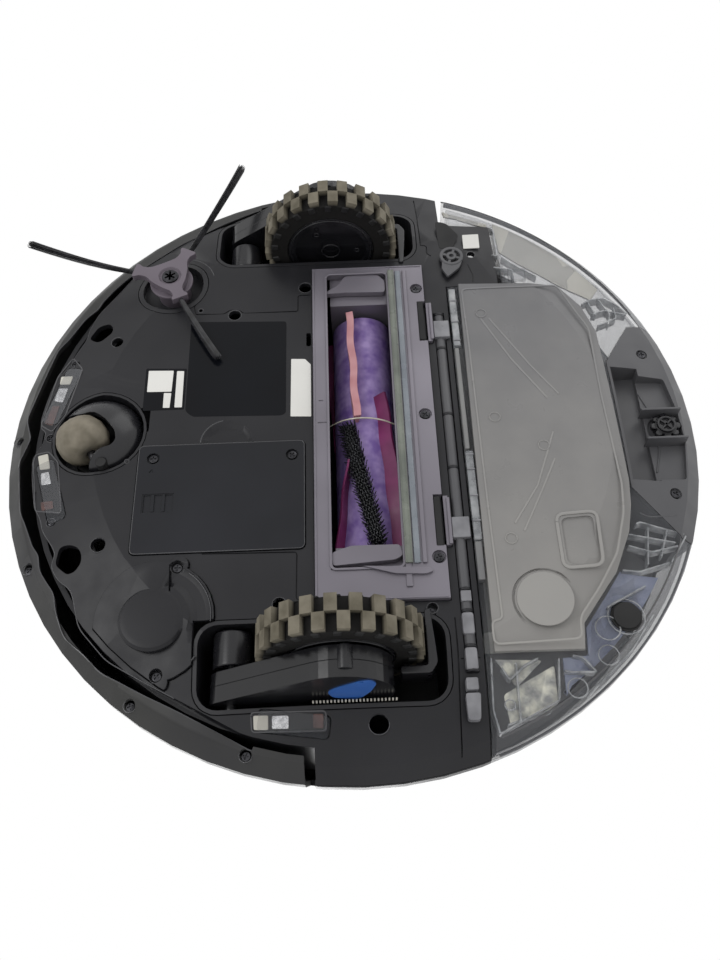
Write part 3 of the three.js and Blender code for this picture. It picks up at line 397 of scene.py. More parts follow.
    def moved(self, x: float = 0.0, y: float = 0.0, z: float = 0.0) -> "Solid":
        """Moves the solid along the axes."""
        return self.placed(Matrix.Translation((x, y, z)))

    def along_x(self, x: float, y: float, z: float) -> "Solid":
        """Lays an upright solid down with its axis along X, through a point."""
        return self.placed(Matrix.Translation((x, y, z)) @ Matrix.Rotation(math.pi / 2, 4, "Y"))

    def turned_by(self, degrees: float, centre: Point) -> "Solid":
        """Turns the solid about an upright axis."""
        middle = Matrix.Translation((*centre, 0))
        return self.placed(middle @ Matrix.Rotation(math.radians(degrees), 4, "Z") @ middle.inverted())

    def on_floor(self) -> "Solid":
        """Lifts each point by the height that the floor's face has there.

        Returns:
            The same solid.
        """
        for vert in self.mesh.verts:
            vert.co.z += floor_of(vert.co.xy)
        return self

    def bevelled(self, width: float, segments: int = 2, sharper_than: float = 30.0) -> "Solid":
        """Rounds the sharp edges.

        Args:
            width: How far the rounding reaches from each edge.
            segments: Steps in the rounding.
            sharper_than: The least angle between faces, in degrees, of an edge that is rounded.

        Returns:
            The same solid.
        """
        limit = math.radians(sharper_than)
        sharp = [e for e in self.mesh.edges if e.is_manifold and e.calc_face_angle(0) > limit]
        bmesh.ops.bevel(self.mesh, geom=sharp, offset=width, offset_type="OFFSET", segments=segments,
                        profile=0.5, affect="EDGES", clamp_overlap=True, material=-1)
        return self

    @classmethod
    def of_node(cls, name: str) -> "Solid":
        """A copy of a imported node's shape, its loose triangles merged.

        Args:
            name: The node's name.

        Returns:
            The solid.
        """
        mesh = bmesh.new()
        mesh.from_mesh(FRAME["nodes"][name].data)
        place = Matrix.Scale(1 / MILLIMETRE, 4) @ Matrix.Translation((0, 0, -BASE_HEIGHT * MILLIMETRE))
        bmesh.ops.transform(mesh, matrix=place, verts=mesh.verts)
        bmesh.ops.remove_doubles(mesh, verts=mesh.verts, dist=NODE_MERGE_DISTANCE)
        return cls(mesh)

    def tube(self, points: Sequence[Point3], radius: float, sides: int = 3) -> "Solid":
        """Adds a thin rod along a line of points to this solid.

        Args:
            points: The points of its middle line.
            radius: Its radius.
            sides: How many sides its section has.

        Returns:
            The same solid.
        """
        line = [Vector(p) for p in points]
        heading = (line[-1] - line[0]).normalized()
        across = heading.orthogonal().normalized()
        other = heading.cross(across)
        turns = [math.tau * n / sides for n in range(sides)]
        ring = [self.mesh.verts.new(line[0] + (across * math.cos(t) + other * math.sin(t)) * radius)
                for t in turns]
        edges = [self.mesh.edges.new((ring[n], ring[(n + 1) % sides])) for n in range(sides)]
        bmesh.ops.edgenet_fill(self.mesh, edges=edges)
        for before, here in zip(line, line[1:]):
            made = bmesh.ops.extrude_edge_only(self.mesh, edges=edges)["geom"]
            edges = [item for item in made if isinstance(item, bmesh.types.BMEdge)]
            verts = [item for item in made if isinstance(item, bmesh.types.BMVert)]
            bmesh.ops.translate(self.mesh, verts=verts, vec=here - before)
        bmesh.ops.edgenet_fill(self.mesh, edges=edges)
        return self

    def copy(self) -> "Solid":
        """A second solid of the same shape."""
        return Solid(self.mesh.copy())

    def joined(self, *others: "Solid") -> "Solid":
        """Adds other solids as they are, without merging their insides.

        Args:
            others: The solids that are added.

        Returns:
            The same solid.
        """
        for other in others:
            spare = bpy.data.meshes.new("spare")
            other.mesh.to_mesh(spare)
            self.mesh.from_mesh(spare)
            bpy.data.meshes.remove(spare)
        return self

    def _combined(self, others: Sequence["Solid"], operation: Operation) -> "Solid":
        """Cuts or adds the others' shape.

        Args:
            others: The solids to combine with.
            operation: Which of the two is done.

        Returns:
            The same solid, with its new shape.
        """
        tools = bpy.data.collections.new("tools")
        shown = [spare_object(other.mesh) for other in others]
        for tool in shown:
            tools.objects.link(tool)
        base = spare_object(self.mesh)
        bpy.context.scene.collection.objects.link(base)
        modifier = base.modifiers.new("combine", "BOOLEAN")
        modifier.operation = operation.value
        modifier.solver = "MANIFOLD"
        modifier.operand_type = "COLLECTION"
        modifier.collection = tools
        bpy.context.view_layer.update()
        graph = bpy.context.evaluated_depsgraph_get()
        result = bpy.data.meshes.new_from_object(base.evaluated_get(graph))
        self.mesh.clear()
        self.mesh.from_mesh(result)
        bpy.data.meshes.remove(result)
        for spare in (base, *shown):
            data = spare.data
            bpy.data.objects.remove(spare)
            bpy.data.meshes.remove(data)
        bpy.data.collections.remove(tools)
        bmesh.ops.dissolve_degenerate(self.mesh, dist=MERGE_DISTANCE, edges=self.mesh.edges)
        return self

    def cut(self, *others: "Solid") -> "Solid":
        """Takes other solids' shape away."""
        return self._combined(others, Operation.CUT)

    def added(self, *others: "Solid") -> "Solid":
        """Melts other solids into this one."""
        return self._combined(others, Operation.ADD)


def merged(solids: Sequence[Solid]) -> Solid:
    """Several solids as one mesh, each kept whole."""
    first, *rest = solids
    return first.joined(*rest)


def spare_object(mesh: bmesh.types.BMesh) -> bpy.types.Object:
    """An object for a short while, for a modifier to work on.

    Args:
        mesh: The shape.

    Returns:
        The object, in no collection yet.
    """
    data = bpy.data.meshes.new("spare")
    mesh.to_mesh(data)
    return bpy.data.objects.new("spare", data)


def dressed(name: str, solid: Solid, finish: "Finish", body: str, replaces: Iterable[str] = (),
            smooth: float = 32.0) -> bpy.types.Object:
    """Makes a solid a finished piece of the scene that rides on a body.

    Args:
        name: The piece's name.
        solid: Its shape.
        finish: Its finish.
        body: The body that it rides on.
        replaces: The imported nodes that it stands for.
        smooth: Edges sharper than this many degrees stay sharp.

    Returns:
        The object.
    """
    place = Matrix.Translation((0, 0, BASE_HEIGHT * MILLIMETRE)) @ Matrix.Scale(MILLIMETRE, 4)
    bmesh.ops.transform(solid.mesh, matrix=place, verts=solid.mesh.verts)
    data = bpy.data.meshes.new(name)
    solid.mesh.to_mesh(data)
    solid.mesh.free()
    data.materials.append(finish.material())
    data.shade_smooth()
    data.set_sharp_from_angle(angle=math.radians(smooth))
    piece = bpy.data.objects.new(name, data)
    bpy.context.scene.collection.objects.link(piece)
    normals = piece.modifiers.new("normals", "WEIGHTED_NORMAL")
    normals.mode = "FACE_AREA"
    normals.weight = 100
    normals.keep_sharp = True
    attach(piece, body)
    names = tuple(replaces)
    if names:
        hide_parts(*names)
    return piece


def linear(colour: str) -> tuple[float, float, float, float]:
    """Turns an sRGB hex colour to linear values.

    Args:
        colour: Six hex digits after a hash.

    Returns:
        Red, green, blue and an alpha of 1.
    """
    parts = [int(colour[i:i + 2], 16) / 255 for i in (1, 3, 5)]
    return (*(p / 12.92 if p <= 0.04045 else ((p + 0.055) / 1.055) ** 2.4 for p in parts), 1.0)


class Recipe:
    """A material's nodes while they are put together."""

    def __init__(self, name: str, owner: bpy.types.Material | bpy.types.World | None = None) -> None:
        """Starts an empty material, or empties the owner's nodes if there is one.

        Args:
            name: The material's name.
            owner: The world or material whose nodes are used, if there is one already.
        """
        self.material = owner or bpy.data.materials.new(name)
        self.material.use_nodes = True
        self.tree = self.material.node_tree
        self.tree.nodes.clear()

    def add(self, kind: str, settings: dict | None = None, inputs: dict | None = None) -> bpy.types.Node:
        """Adds a node with its settings and links.

        Args:
            kind: The node's type without the ShaderNode in front.
            settings: The node's own properties.
            inputs: Values or output sockets for its inputs, by name or number.

        Returns:
            The node.
        """
        node = self.tree.nodes.new("ShaderNode" + kind)
        for key, value in (settings or {}).items():
            setattr(node, key, value)
        for key, value in (inputs or {}).items():
            if isinstance(value, bpy.types.NodeSocket):
                self.tree.links.new(value, node.inputs[key])
            else:
                node.inputs[key].default_value = value
        return node

    def pattern(self, spacing: float, detail: float = 2.0, stretch: Point3 = (1, 1, 1),
                roughness: float = 0.5) -> bpy.types.NodeSocket:
        """Noise whose spots are a real size.

        Args:
            spacing: The spots' size in millimetres.
            detail: How many finer layers it has.
            stretch: How much finer it is along each axis.
            roughness: How strong the finer layers are.

        Returns:
            The noise's output.
        """
        scale = [1 / (spacing * MILLIMETRE) * s for s in stretch]
        place = self.add("Mapping", None, {"Vector": self.coordinates, "Scale": scale})
        noise = self.add("TexNoise", None, {"Vector": place.outputs[0], "Scale": 1.0, "Detail": detail,
                                            "Roughness": roughness})
        return noise.outputs[0]

    @property
    def coordinates(self) -> bpy.types.NodeSocket:
        """The place on the robot, in metres."""
        return self.add("TexCoord").outputs["Object"]

    def spread(self, value: bpy.types.NodeSocket, low: float, high: float, start: float = 0.3,
               stop: float = 0.7) -> bpy.types.NodeSocket:
        """Maps a pattern onto a range of values.

        Args:
            value: The pattern.
            low: The value where the pattern is at start.
            high: The value where the pattern is at stop.
            start: The pattern's lower bound.
            stop: The pattern's upper bound.

        Returns:
            The mapped value.
        """
        return self.add("MapRange", None, {0: value, 1: start, 2: stop, 3: low, 4: high}).outputs[0]

    def distance(self, centre: Point3, across: Point3) -> bpy.types.NodeSocket:
        """The distance from a line along one axis, in metres.

        Args:
            centre: A point of the line, in metres.
            across: 0 for the axis that the line runs along, 1 for the others.

        Returns:
            The distance.
        """
        flat = self.add("VectorMath", {"operation": "MULTIPLY"}, {0: self.coordinates, 1: across})
        reach = self.add("VectorMath", {"operation": "DISTANCE"}, {0: flat.outputs[0], 1: centre})
        return reach.outputs["Value"]

    def ramp(self, value: bpy.types.NodeSocket, stops: Sequence[tuple[float, str]]) -> bpy.types.NodeSocket:
        """Colours along a pattern.

        Args:
            value: The pattern.
            stops: Positions and sRGB hex colours.

        Returns:
            The colour.
        """
        node = self.add("ValToRGB", None, {0: value})
        elements = node.color_ramp.elements
        while len(elements) < len(stops):
            elements.new(0.5)
        for element, (place, colour) in zip(elements, stops):
            element.position = place
            element.color = linear(colour)
        return node.outputs[0]

    def finished(self, shader: bpy.types.NodeSocket) -> bpy.types.Material:
        """Links the shader to the output and hands over the material."""
        self.add("OutputMaterial", None, {"Surface": shader})
        return self.material


@dataclass(frozen=True)
class Finish:
    """A surface as it was made: its colour, gloss, grain and wear.

    Sizes are in millimetres. The tint is what the colour drifts towards in broad, soft patches. The edge is
    the radius that the shading rounds corners by, and the two alphas hold face on and at the rim.
    """

    name: str
    slot: str
    colour: str
    tint: str
    roughness: float = 0.4
    gloss: float = 0.5
    metallic: float = 0.0
    patch: float = 45.0
    grain: float = 0.9
    grain_depth: float = 0.02
    haze: float = 0.08
    edge: float = 0.35
    stretch: Point3 = (1, 1, 1)
    alpha: float = 1.0
    rim_alpha: float = 1.0

    def material(self) -> bpy.types.Material:
        """The material, made once and then shared."""
        made = bpy.data.materials.get(self.name)
        return made if made else self.mixed(Recipe(self.name))

    def colour_of(self, recipe: Recipe) -> bpy.types.NodeSocket:
        """The base colour with its broad drift."""
        return recipe.ramp(recipe.pattern(self.patch), [(0.32, self.colour), (0.72, self.tint)])

    def relief_of(self, recipe: Recipe) -> bpy.types.NodeSocket:
        """The surface direction: rounded edges and the mould's grain.

        Args:
            recipe: The material's nodes.

        Returns:
            The normal.
        """
        edge = recipe.add("Bevel", {"samples": 4}, {"Radius": self.edge * MILLIMETRE}).outputs[0]
        grain = recipe.pattern(self.grain, 3.0, self.stretch)
        return recipe.add("Bump", None, {"Strength": 0.6, "Distance": self.grain_depth * MILLIMETRE,
                                         "Height": grain, "Normal": edge}).outputs[0]

    def mixed(self, recipe: Recipe) -> bpy.types.Material:
        """Puts the nodes together.

        Args:
            recipe: The empty material.

        Returns:
            The finished material.
        """
        rough = recipe.spread(recipe.pattern(self.patch * 0.35, 4.0), self.roughness - self.haze,
                              self.roughness + self.haze)
        inputs = {"Base Color": self.colour_of(recipe), "Roughness": rough, "Metallic": self.metallic,
                  "Specular IOR Level": self.gloss, "Normal": self.relief_of(recipe)}
        if self.rim_alpha < 1.0 or self.alpha < 1.0:
            rim = recipe.add("LayerWeight", None, {"Blend": 0.35}).outputs["Facing"]
            inputs["Alpha"] = recipe.spread(rim, self.alpha, self.rim_alpha, 0.1, 0.85)
        shader = recipe.add("BsdfPrincipled", None, inputs)
        return recipe.finished(shader.outputs[0])


@dataclass(frozen=True)
class TreadFinish(Finish):
    """Rubber whose lug faces are dusty while the gaps and walls stay black."""

    axle: Point = AXLE
    deep: str = "#141312"
    worn_from: float = 31.9
    worn_to: float = 34.0

    def colour_of(self, recipe: Recipe) -> bpy.types.NodeSocket:
        """The colour by distance from the axle, dusty only on the lugs.

        Args:
            recipe: The material's nodes.

        Returns:
            The colour.
        """
        y, z = self.axle
        reach = recipe.distance((0, y * MILLIMETRE, (z + BASE_HEIGHT) * MILLIMETRE), (0, 1, 1))
        share = recipe.spread(reach, 0.0, 1.0, self.worn_from * MILLIMETRE, self.worn_to * MILLIMETRE)
        dust = recipe.ramp(recipe.pattern(self.patch, 4.0), [(0.3, self.colour), (0.68, self.tint)])
        mixed = recipe.add("Mix", {"data_type": "RGBA"}, {0: share, 6: linear(self.deep), 7: dust})
        return mixed.outputs[2]


@dataclass(frozen=True)
class LightGradientFinish(Finish):
    """A panel whose colour goes from its colour to its tint along X: a painted gradient of light."""

    start: float = 85.0
    stop: float = -120.0

    def colour_of(self, recipe: Recipe) -> bpy.types.NodeSocket:
        """The colour by X, a painted gradient of light, stirred a little by broad patches.

        Args:
            recipe: The material's nodes.

        Returns:
            The colour.
        """
        along = recipe.add("SeparateXYZ", None, {0: recipe.coordinates}).outputs[0]
        share = recipe.spread(along, 0.0, 1.0, self.start * MILLIMETRE, self.stop * MILLIMETRE)
        cloud = recipe.spread(recipe.pattern(self.patch, 4.0), -0.12, 0.12)
        stirred = recipe.add("Math", {"operation": "ADD"}, {0: share, 1: cloud}).outputs[0]
        return recipe.ramp(stirred, [(0.0, self.colour), (1.0, self.tint)])


@dataclass(frozen=True)
class ArcHighlightFinish(Finish):
    """A floor with pale broken arcs about the sweeper, painted in as highlight lines."""

    centre: Point = SWEEPER
    arc_highlight: str = "#3b3b3c"

    def colour_of(self, recipe: Recipe) -> bpy.types.NodeSocket:
        """The plain colour with pale broken arcs of painted highlight about the sweeper.

        The ramp runs over 100 mm, so the arcs lie 62 to 69 mm from the sweeper's middle.

        Args:
            recipe: The material's nodes.

        Returns:
            The colour.
        """
        reach = recipe.distance((*(v * MILLIMETRE for v in self.centre), 0), (1, 1, 0))
        arcs = recipe.ramp(recipe.add("Math", {"operation": "MULTIPLY"}, {0: reach, 1: 10.0}).outputs[0],
                           [(0.625, "#000000"), (0.645, "#b0b0b0"), (0.655, "#404040"), (0.672, "#8a8a8a"),
                            (0.69, "#000000")])
        broken = recipe.spread(recipe.pattern(16.0, 5.0), 0.0, 0.55, 0.42, 0.66)
        share = recipe.add("Math", {"operation": "MULTIPLY"}, {0: arcs, 1: broken}).outputs[0]
        colours = {0: share, 6: super().colour_of(recipe), 7: linear(self.arc_highlight)}
        return recipe.add("Mix", {"data_type": "RGBA"}, colours).outputs[2]


# Moulded ABS, satin: near black, with soft grey reflections and a fine even grain.
SHELL = Finish("abs_moulded_satin_charcoal", "shell", "#1f1f22", "#242427", roughness=0.40, gloss=0.32,
               haze=0.03)
# The hatches' ABS: a little bluer and glossier than the floor.
HATCH = Finish("abs_hatch_satin_blueblack", "shell", "#191a1e", "#202126", roughness=0.34, gloss=0.22,
               haze=0.04)
# Rounded edges that the mould left polished, their colour painted lighter as highlights: thin bright lines
# where they catch the light.
EDGE_HIGHLIGHT = Finish("abs_edge_painted_highlight", "shell", "#3a3a3d", "#47474a", roughness=0.22, gloss=0.6,
              grain_depth=0.004, edge=0.1)
# The same ABS on the upright outer wall, textured by the mould: greyer and duller.
BUMPER_SKIN = Finish("abs_moulded_textured_grey", "shell", "#29292a", "#333331", roughness=0.5, gloss=0.35,
                     grain=0.7, grain_depth=0.04)
# Polished ABS: a deep black that mirrors the light.
GLOSS = Finish("abs_moulded_glossy_black", "gloss", "#121214", "#1a1a1d", roughness=0.2, gloss=0.45,
               grain_depth=0.006, haze=0.05)
# Polished ABS worn to a soft gloss by handling: broad highlights.
GLOSS_SOFT = Finish("abs_moulded_soft_gloss", "gloss", "#17171a", "#212124", roughness=0.27, gloss=0.42,
                    grain_depth=0.008, haze=0.06, edge=0.7)
# Glass filled ABS of the rear block: a mid grey with a matt skin.
REAR_GREY = Finish("abs_moulded_matt_grey", "rear_grey", "#4c4c4f", "#58585a", roughness=0.46, gloss=0.4)
# ABS of the tank's lid and the fan, seen through the tank.
LID_GREY = Finish("abs_moulded_warm_grey", "rear_grey", "#6f6f70", "#7f7f7e", roughness=0.5, gloss=0.4)
# Pearl pigment in ABS: a purple grey with a metal flake's soft glow.
MAUVE = Finish("abs_moulded_pearl_mauve", "mauve", "#6c6870", "#837f88", roughness=0.38, gloss=0.5,
               metallic=0.25, patch=60.0, grain=0.5, grain_depth=0.012)
# Soft touch moulding of the sweeper's hub.
HUB_MAUVE = Finish("tpe_moulded_mauve", "hub_mauve", "#5a525b", "#6f6770", roughness=0.45, gloss=0.45)
# Nitrile rubber: dull black.
RUBBER = Finish("rubber_moulded_black", "rubber", "#19191a", "#242424", roughness=0.6, gloss=0.3,
                grain_depth=0.04)
# The floor plate's ABS, with faint pale arcs about the sweeper painted in as highlight lines.
FLOOR = ArcHighlightFinish("abs_floor_satin_arc_highlights", "shell", "#1d1d20", "#252528", roughness=0.40, gloss=0.26)
# Worn rubber tread with floor dust pressed in: a brown grey on the lugs, black between them.
TREAD = TreadFinish("rubber_tread_dusty_brown", "tread", "#5b5649", "#807a6c", roughness=0.75, gloss=0.25,
                    patch=9.0, grain=0.6, grain_depth=0.08, haze=0.06)
# Worn nylon of the caster's roller, rubbed by the floor.
CASTER_BALL = Finish("nylon_moulded_worn_brown", "caster_ball", "#6b6558", "#857e70", roughness=0.62,
                     gloss=0.3, patch=6.0, grain=0.5, grain_depth=0.06)
# Nylon filament, black with a dull shine along its length.
BRISTLE = Finish("nylon_filament_black", "bristle", "#141416", "#3a3a3e", roughness=0.38, gloss=0.5,
                 patch=5.0, edge=0.05)
# Purple PU sleeve with hairs and dust streaks drawn round it.
BARREL = Finish("polyurethane_sleeve_purple", "barrel", "#6f5599", "#a48fc2", roughness=0.55, gloss=0.35,
                patch=7.0, stretch=(0.2, 2, 2), grain_depth=0.05)
# Pink TPU fin.
FIN_PINK = Finish("tpu_fin_pink", "fin", "#b0767c", "#cf9ea2", roughness=0.5, gloss=0.4, patch=14.0)
# Dark magenta TPU fin.
FIN_MAGENTA = Finish("tpu_fin_magenta", "fin", "#5b1b45", "#7c2d60", roughness=0.42, gloss=0.4, patch=14.0)
# Elastic band woven round the roll, cream and dusty.
ELASTIC = Finish("elastic_woven_cream", "fin", "#b9b3a3", "#d9d4c6", roughness=0.8, gloss=0.2, patch=4.0,
                 grain=0.4, grain_depth=0.1)
# Silicone seal, grey green with a wet shine.
SEAL = Finish("silicone_extruded_grey_green", "seal", "#5d625b", "#7f847a", roughness=0.3, gloss=0.5,
              patch=18.0, stretch=(0.3, 1, 1))
# Silicone squeegee of a bluish cast, half clear.
SEAL_CLEAR = Finish("silicone_extruded_clear", "seal", "#7b828a", "#9aa1a8", roughness=0.25, gloss=0.5,
                    patch=18.0, alpha=0.75)
# Plated steel screws, painted dark all over as the shade deep in their bores.
STEEL_SHADED = Finish("steel_screw_painted_shade", "steel", "#2b2b2d", "#4b4b4e", roughness=0.36, metallic=1.0,
               grain=0.4, grain_depth=0.004, edge=0.12, patch=3.0)
# Bearing steel, darker and oiled.
STEEL_DARK = Finish("steel_turned_oiled", "steel", "#5d5d60", "#77777a", roughness=0.35, metallic=1.0,
                    edge=0.2)
# Clear polycarbonate of the tank, which shows what lies behind it.
TANK_CLEAR = Finish("polycarbonate_moulded_clear", "clear", "#7f8187", "#96989c", roughness=0.12, gloss=0.4,
                    grain_depth=0.004, haze=0.03, alpha=0.12, rim_alpha=0.7)
# Smoke tinted polycarbonate of the dust door, sanded fine inside, painted lighter towards -X as a gradient of
# light.
SMOKE = LightGradientFinish("polycarbonate_moulded_smoke", "smoke", "#636365", "#8f8d8a", roughness=0.34, gloss=0.4,
                    patch=30.0)
# Cream ABS inside the tank.
CREAM = Finish("abs_moulded_cream", "clear", "#bdbab0", "#cfccc2", roughness=0.5, gloss=0.35, patch=30.0)
# Clear walls inside the tank, whose thick edges gather the light.
CRYSTAL = Finish("polycarbonate_ribs_clear", "clear", "#8e9195", "#c9cbcd", roughness=0.08, gloss=0.7,
                 patch=5.0, grain=2.5, grain_depth=0.15, haze=0.03, alpha=0.5, edge=0.4)
# Clear floor of the tank over a bluish tray.
TRAY_BLUE = Finish("polycarbonate_tray_bluish", "clear", "#6f7690", "#9aa0b4", roughness=0.3, gloss=0.5,
                   patch=16.0)
# Wet, uneven plastic whose small patches are painted near white as the glints where it sparkles.
PAINTED_GLINT = Finish("polycarbonate_crinkled_painted_glints", "clear", "#8f9090", "#f0eedd", roughness=0.25, gloss=0.7,
               patch=5.0, grain=3.0, grain_depth=0.5, haze=0.1)
# Lip of the dust door, where the smoke tint is thinner; it too is painted lighter towards -X as a gradient of
# light.
SMOKE_LIP = LightGradientFinish("polycarbonate_lip_smoke", "smoke", "#6f6f71", "#9a9894", roughness=0.32, gloss=0.5,
                        patch=60.0)
# Light grey acetal of the rail's brackets.
BRACKET = Finish("acetal_moulded_light_grey", "rear_grey", "#6c6c70", "#8b8b8f", roughness=0.35, gloss=0.5,
                 patch=8.0)
# Bright tinned metal inside a sensor.
STEEL_BRIGHT = Finish("steel_tinned_bright", "steel", "#a9a9ab", "#d8d8da", roughness=0.25, metallic=1.0,
                      patch=2.0)
# Reddish filter glass inside a sensor.
SENSOR_RED = Finish("acrylic_filter_brown_red", "clear", "#3a2422", "#5c3a34", roughness=0.15, gloss=0.6,
                    patch=3.0)
# White paper label, slightly yellowed.
LABEL_WHITE = Finish("paper_label_white", "shell", "#d8d7d2", "#e6e5e1", roughness=0.55, gloss=0.35,
                     grain=0.3, grain_depth=0.004, edge=0.05)
# Printed polyester label, blue black and glossy.
LABEL_DARK = Finish("polyester_label_glossy_dark", "shell", "#0a0b0f", "#0e1015", roughness=0.16, gloss=0.14,
                    grain_depth=0.003, haze=0.03, edge=0.05)
# Blue polyester sticker.
LABEL_BLUE = Finish("polyester_label_blue", "gloss", "#2c59a6", "#3a6cb8", roughness=0.3, gloss=0.45,
                    edge=0.05)
# Printed circuit board with green solder mask.
BOARD = Finish("fibreglass_board_solder_mask", "board", "#1f5a3a", "#2a6b47", roughness=0.4)
# Shrink wrapped cells.
CELLS = Finish("pvc_wrapped_cells", "cells", "#3b4a63", "#485a78", roughness=0.4)
# Pleated filter paper.
FILTER = Finish("paper_pleated_filter", "filter_white", "#dddcd6", "#eae9e4", roughness=0.85, gloss=0.2)


SLOT_FINISH = {"shell": SHELL, "gloss": GLOSS, "rear_grey": REAR_GREY, "mauve": MAUVE, "hub_mauve": HUB_MAUVE,
               "rubber": RUBBER, "tread": TREAD, "caster_ball": CASTER_BALL, "bristle": BRISTLE,
               "barrel": BARREL, "fin": FIN_PINK, "seal": SEAL, "clear": TANK_CLEAR, "smoke": SMOKE,
               "board": BOARD, "cells": CELLS, "steel": STEEL_DARK, "filter_white": FILTER}


@dataclass
class Screws:
    """Small cross-head screws at the bottom of round counterbores.

    The seat and the head are radii, the depth is the counterbore's, and the base is the height of the face
    that they are sunk in, where that isn't the floor's.
    """

    body: str
    name: str
    places: Sequence[Point]
    seat: float = 3.0
    depth: float = 2.1
    head: float = 2.2
    base: float | None = None
    thickness: float = 1.3
    slot_reach: float = 1.4
    slot_half: float = 0.33
    turn: float = 37.0

    def height(self, place: Point) -> float:
        """The height of the face that a screw is sunk in."""
        return floor_of(place) if self.base is None else self.base

    def seats(self) -> list[Solid]:
        """The cutters of the counterbores."""
        return [Solid.disc(p, self.seat, self.height(p) - 4, self.height(p) + self.depth, 32)
                for p in self.places]

    def rims(self) -> list[Solid]:
        """Thin rounded rims at the counterbores' mouths, dressed as painted highlights with the edge beads.
        """
        return [Solid.ring(p, self.seat + 0.15, self.height(p) + 0.1, 0.22, 32, 6) for p in self.places]

    def build(self) -> bpy.types.Object:
        """The heads as one piece, each turned a little further than the last.

        Returns:
            The finished piece.
        """
        reach, half = self.slot_reach, self.slot_half
        head = Solid.disc((0, 0), self.head, 0, self.thickness, 28).bevelled(0.45, 2)
        head.cut(Solid.box(-reach, reach, -half, half, -0.4, 0.6),
                 Solid.box(-half, half, -reach, reach, -0.4, 0.6))
        solids = []
        for i, place in enumerate(self.places):
            turned = head.copy().turned_by(self.turn * i, (0, 0))
            solids.append(turned.moved(*place, self.height(place) + self.depth - 1.1))
        # The heads' steel is painted dark as the shade in their bores.
        return dressed(self.name, merged(solids), STEEL_SHADED, self.body)


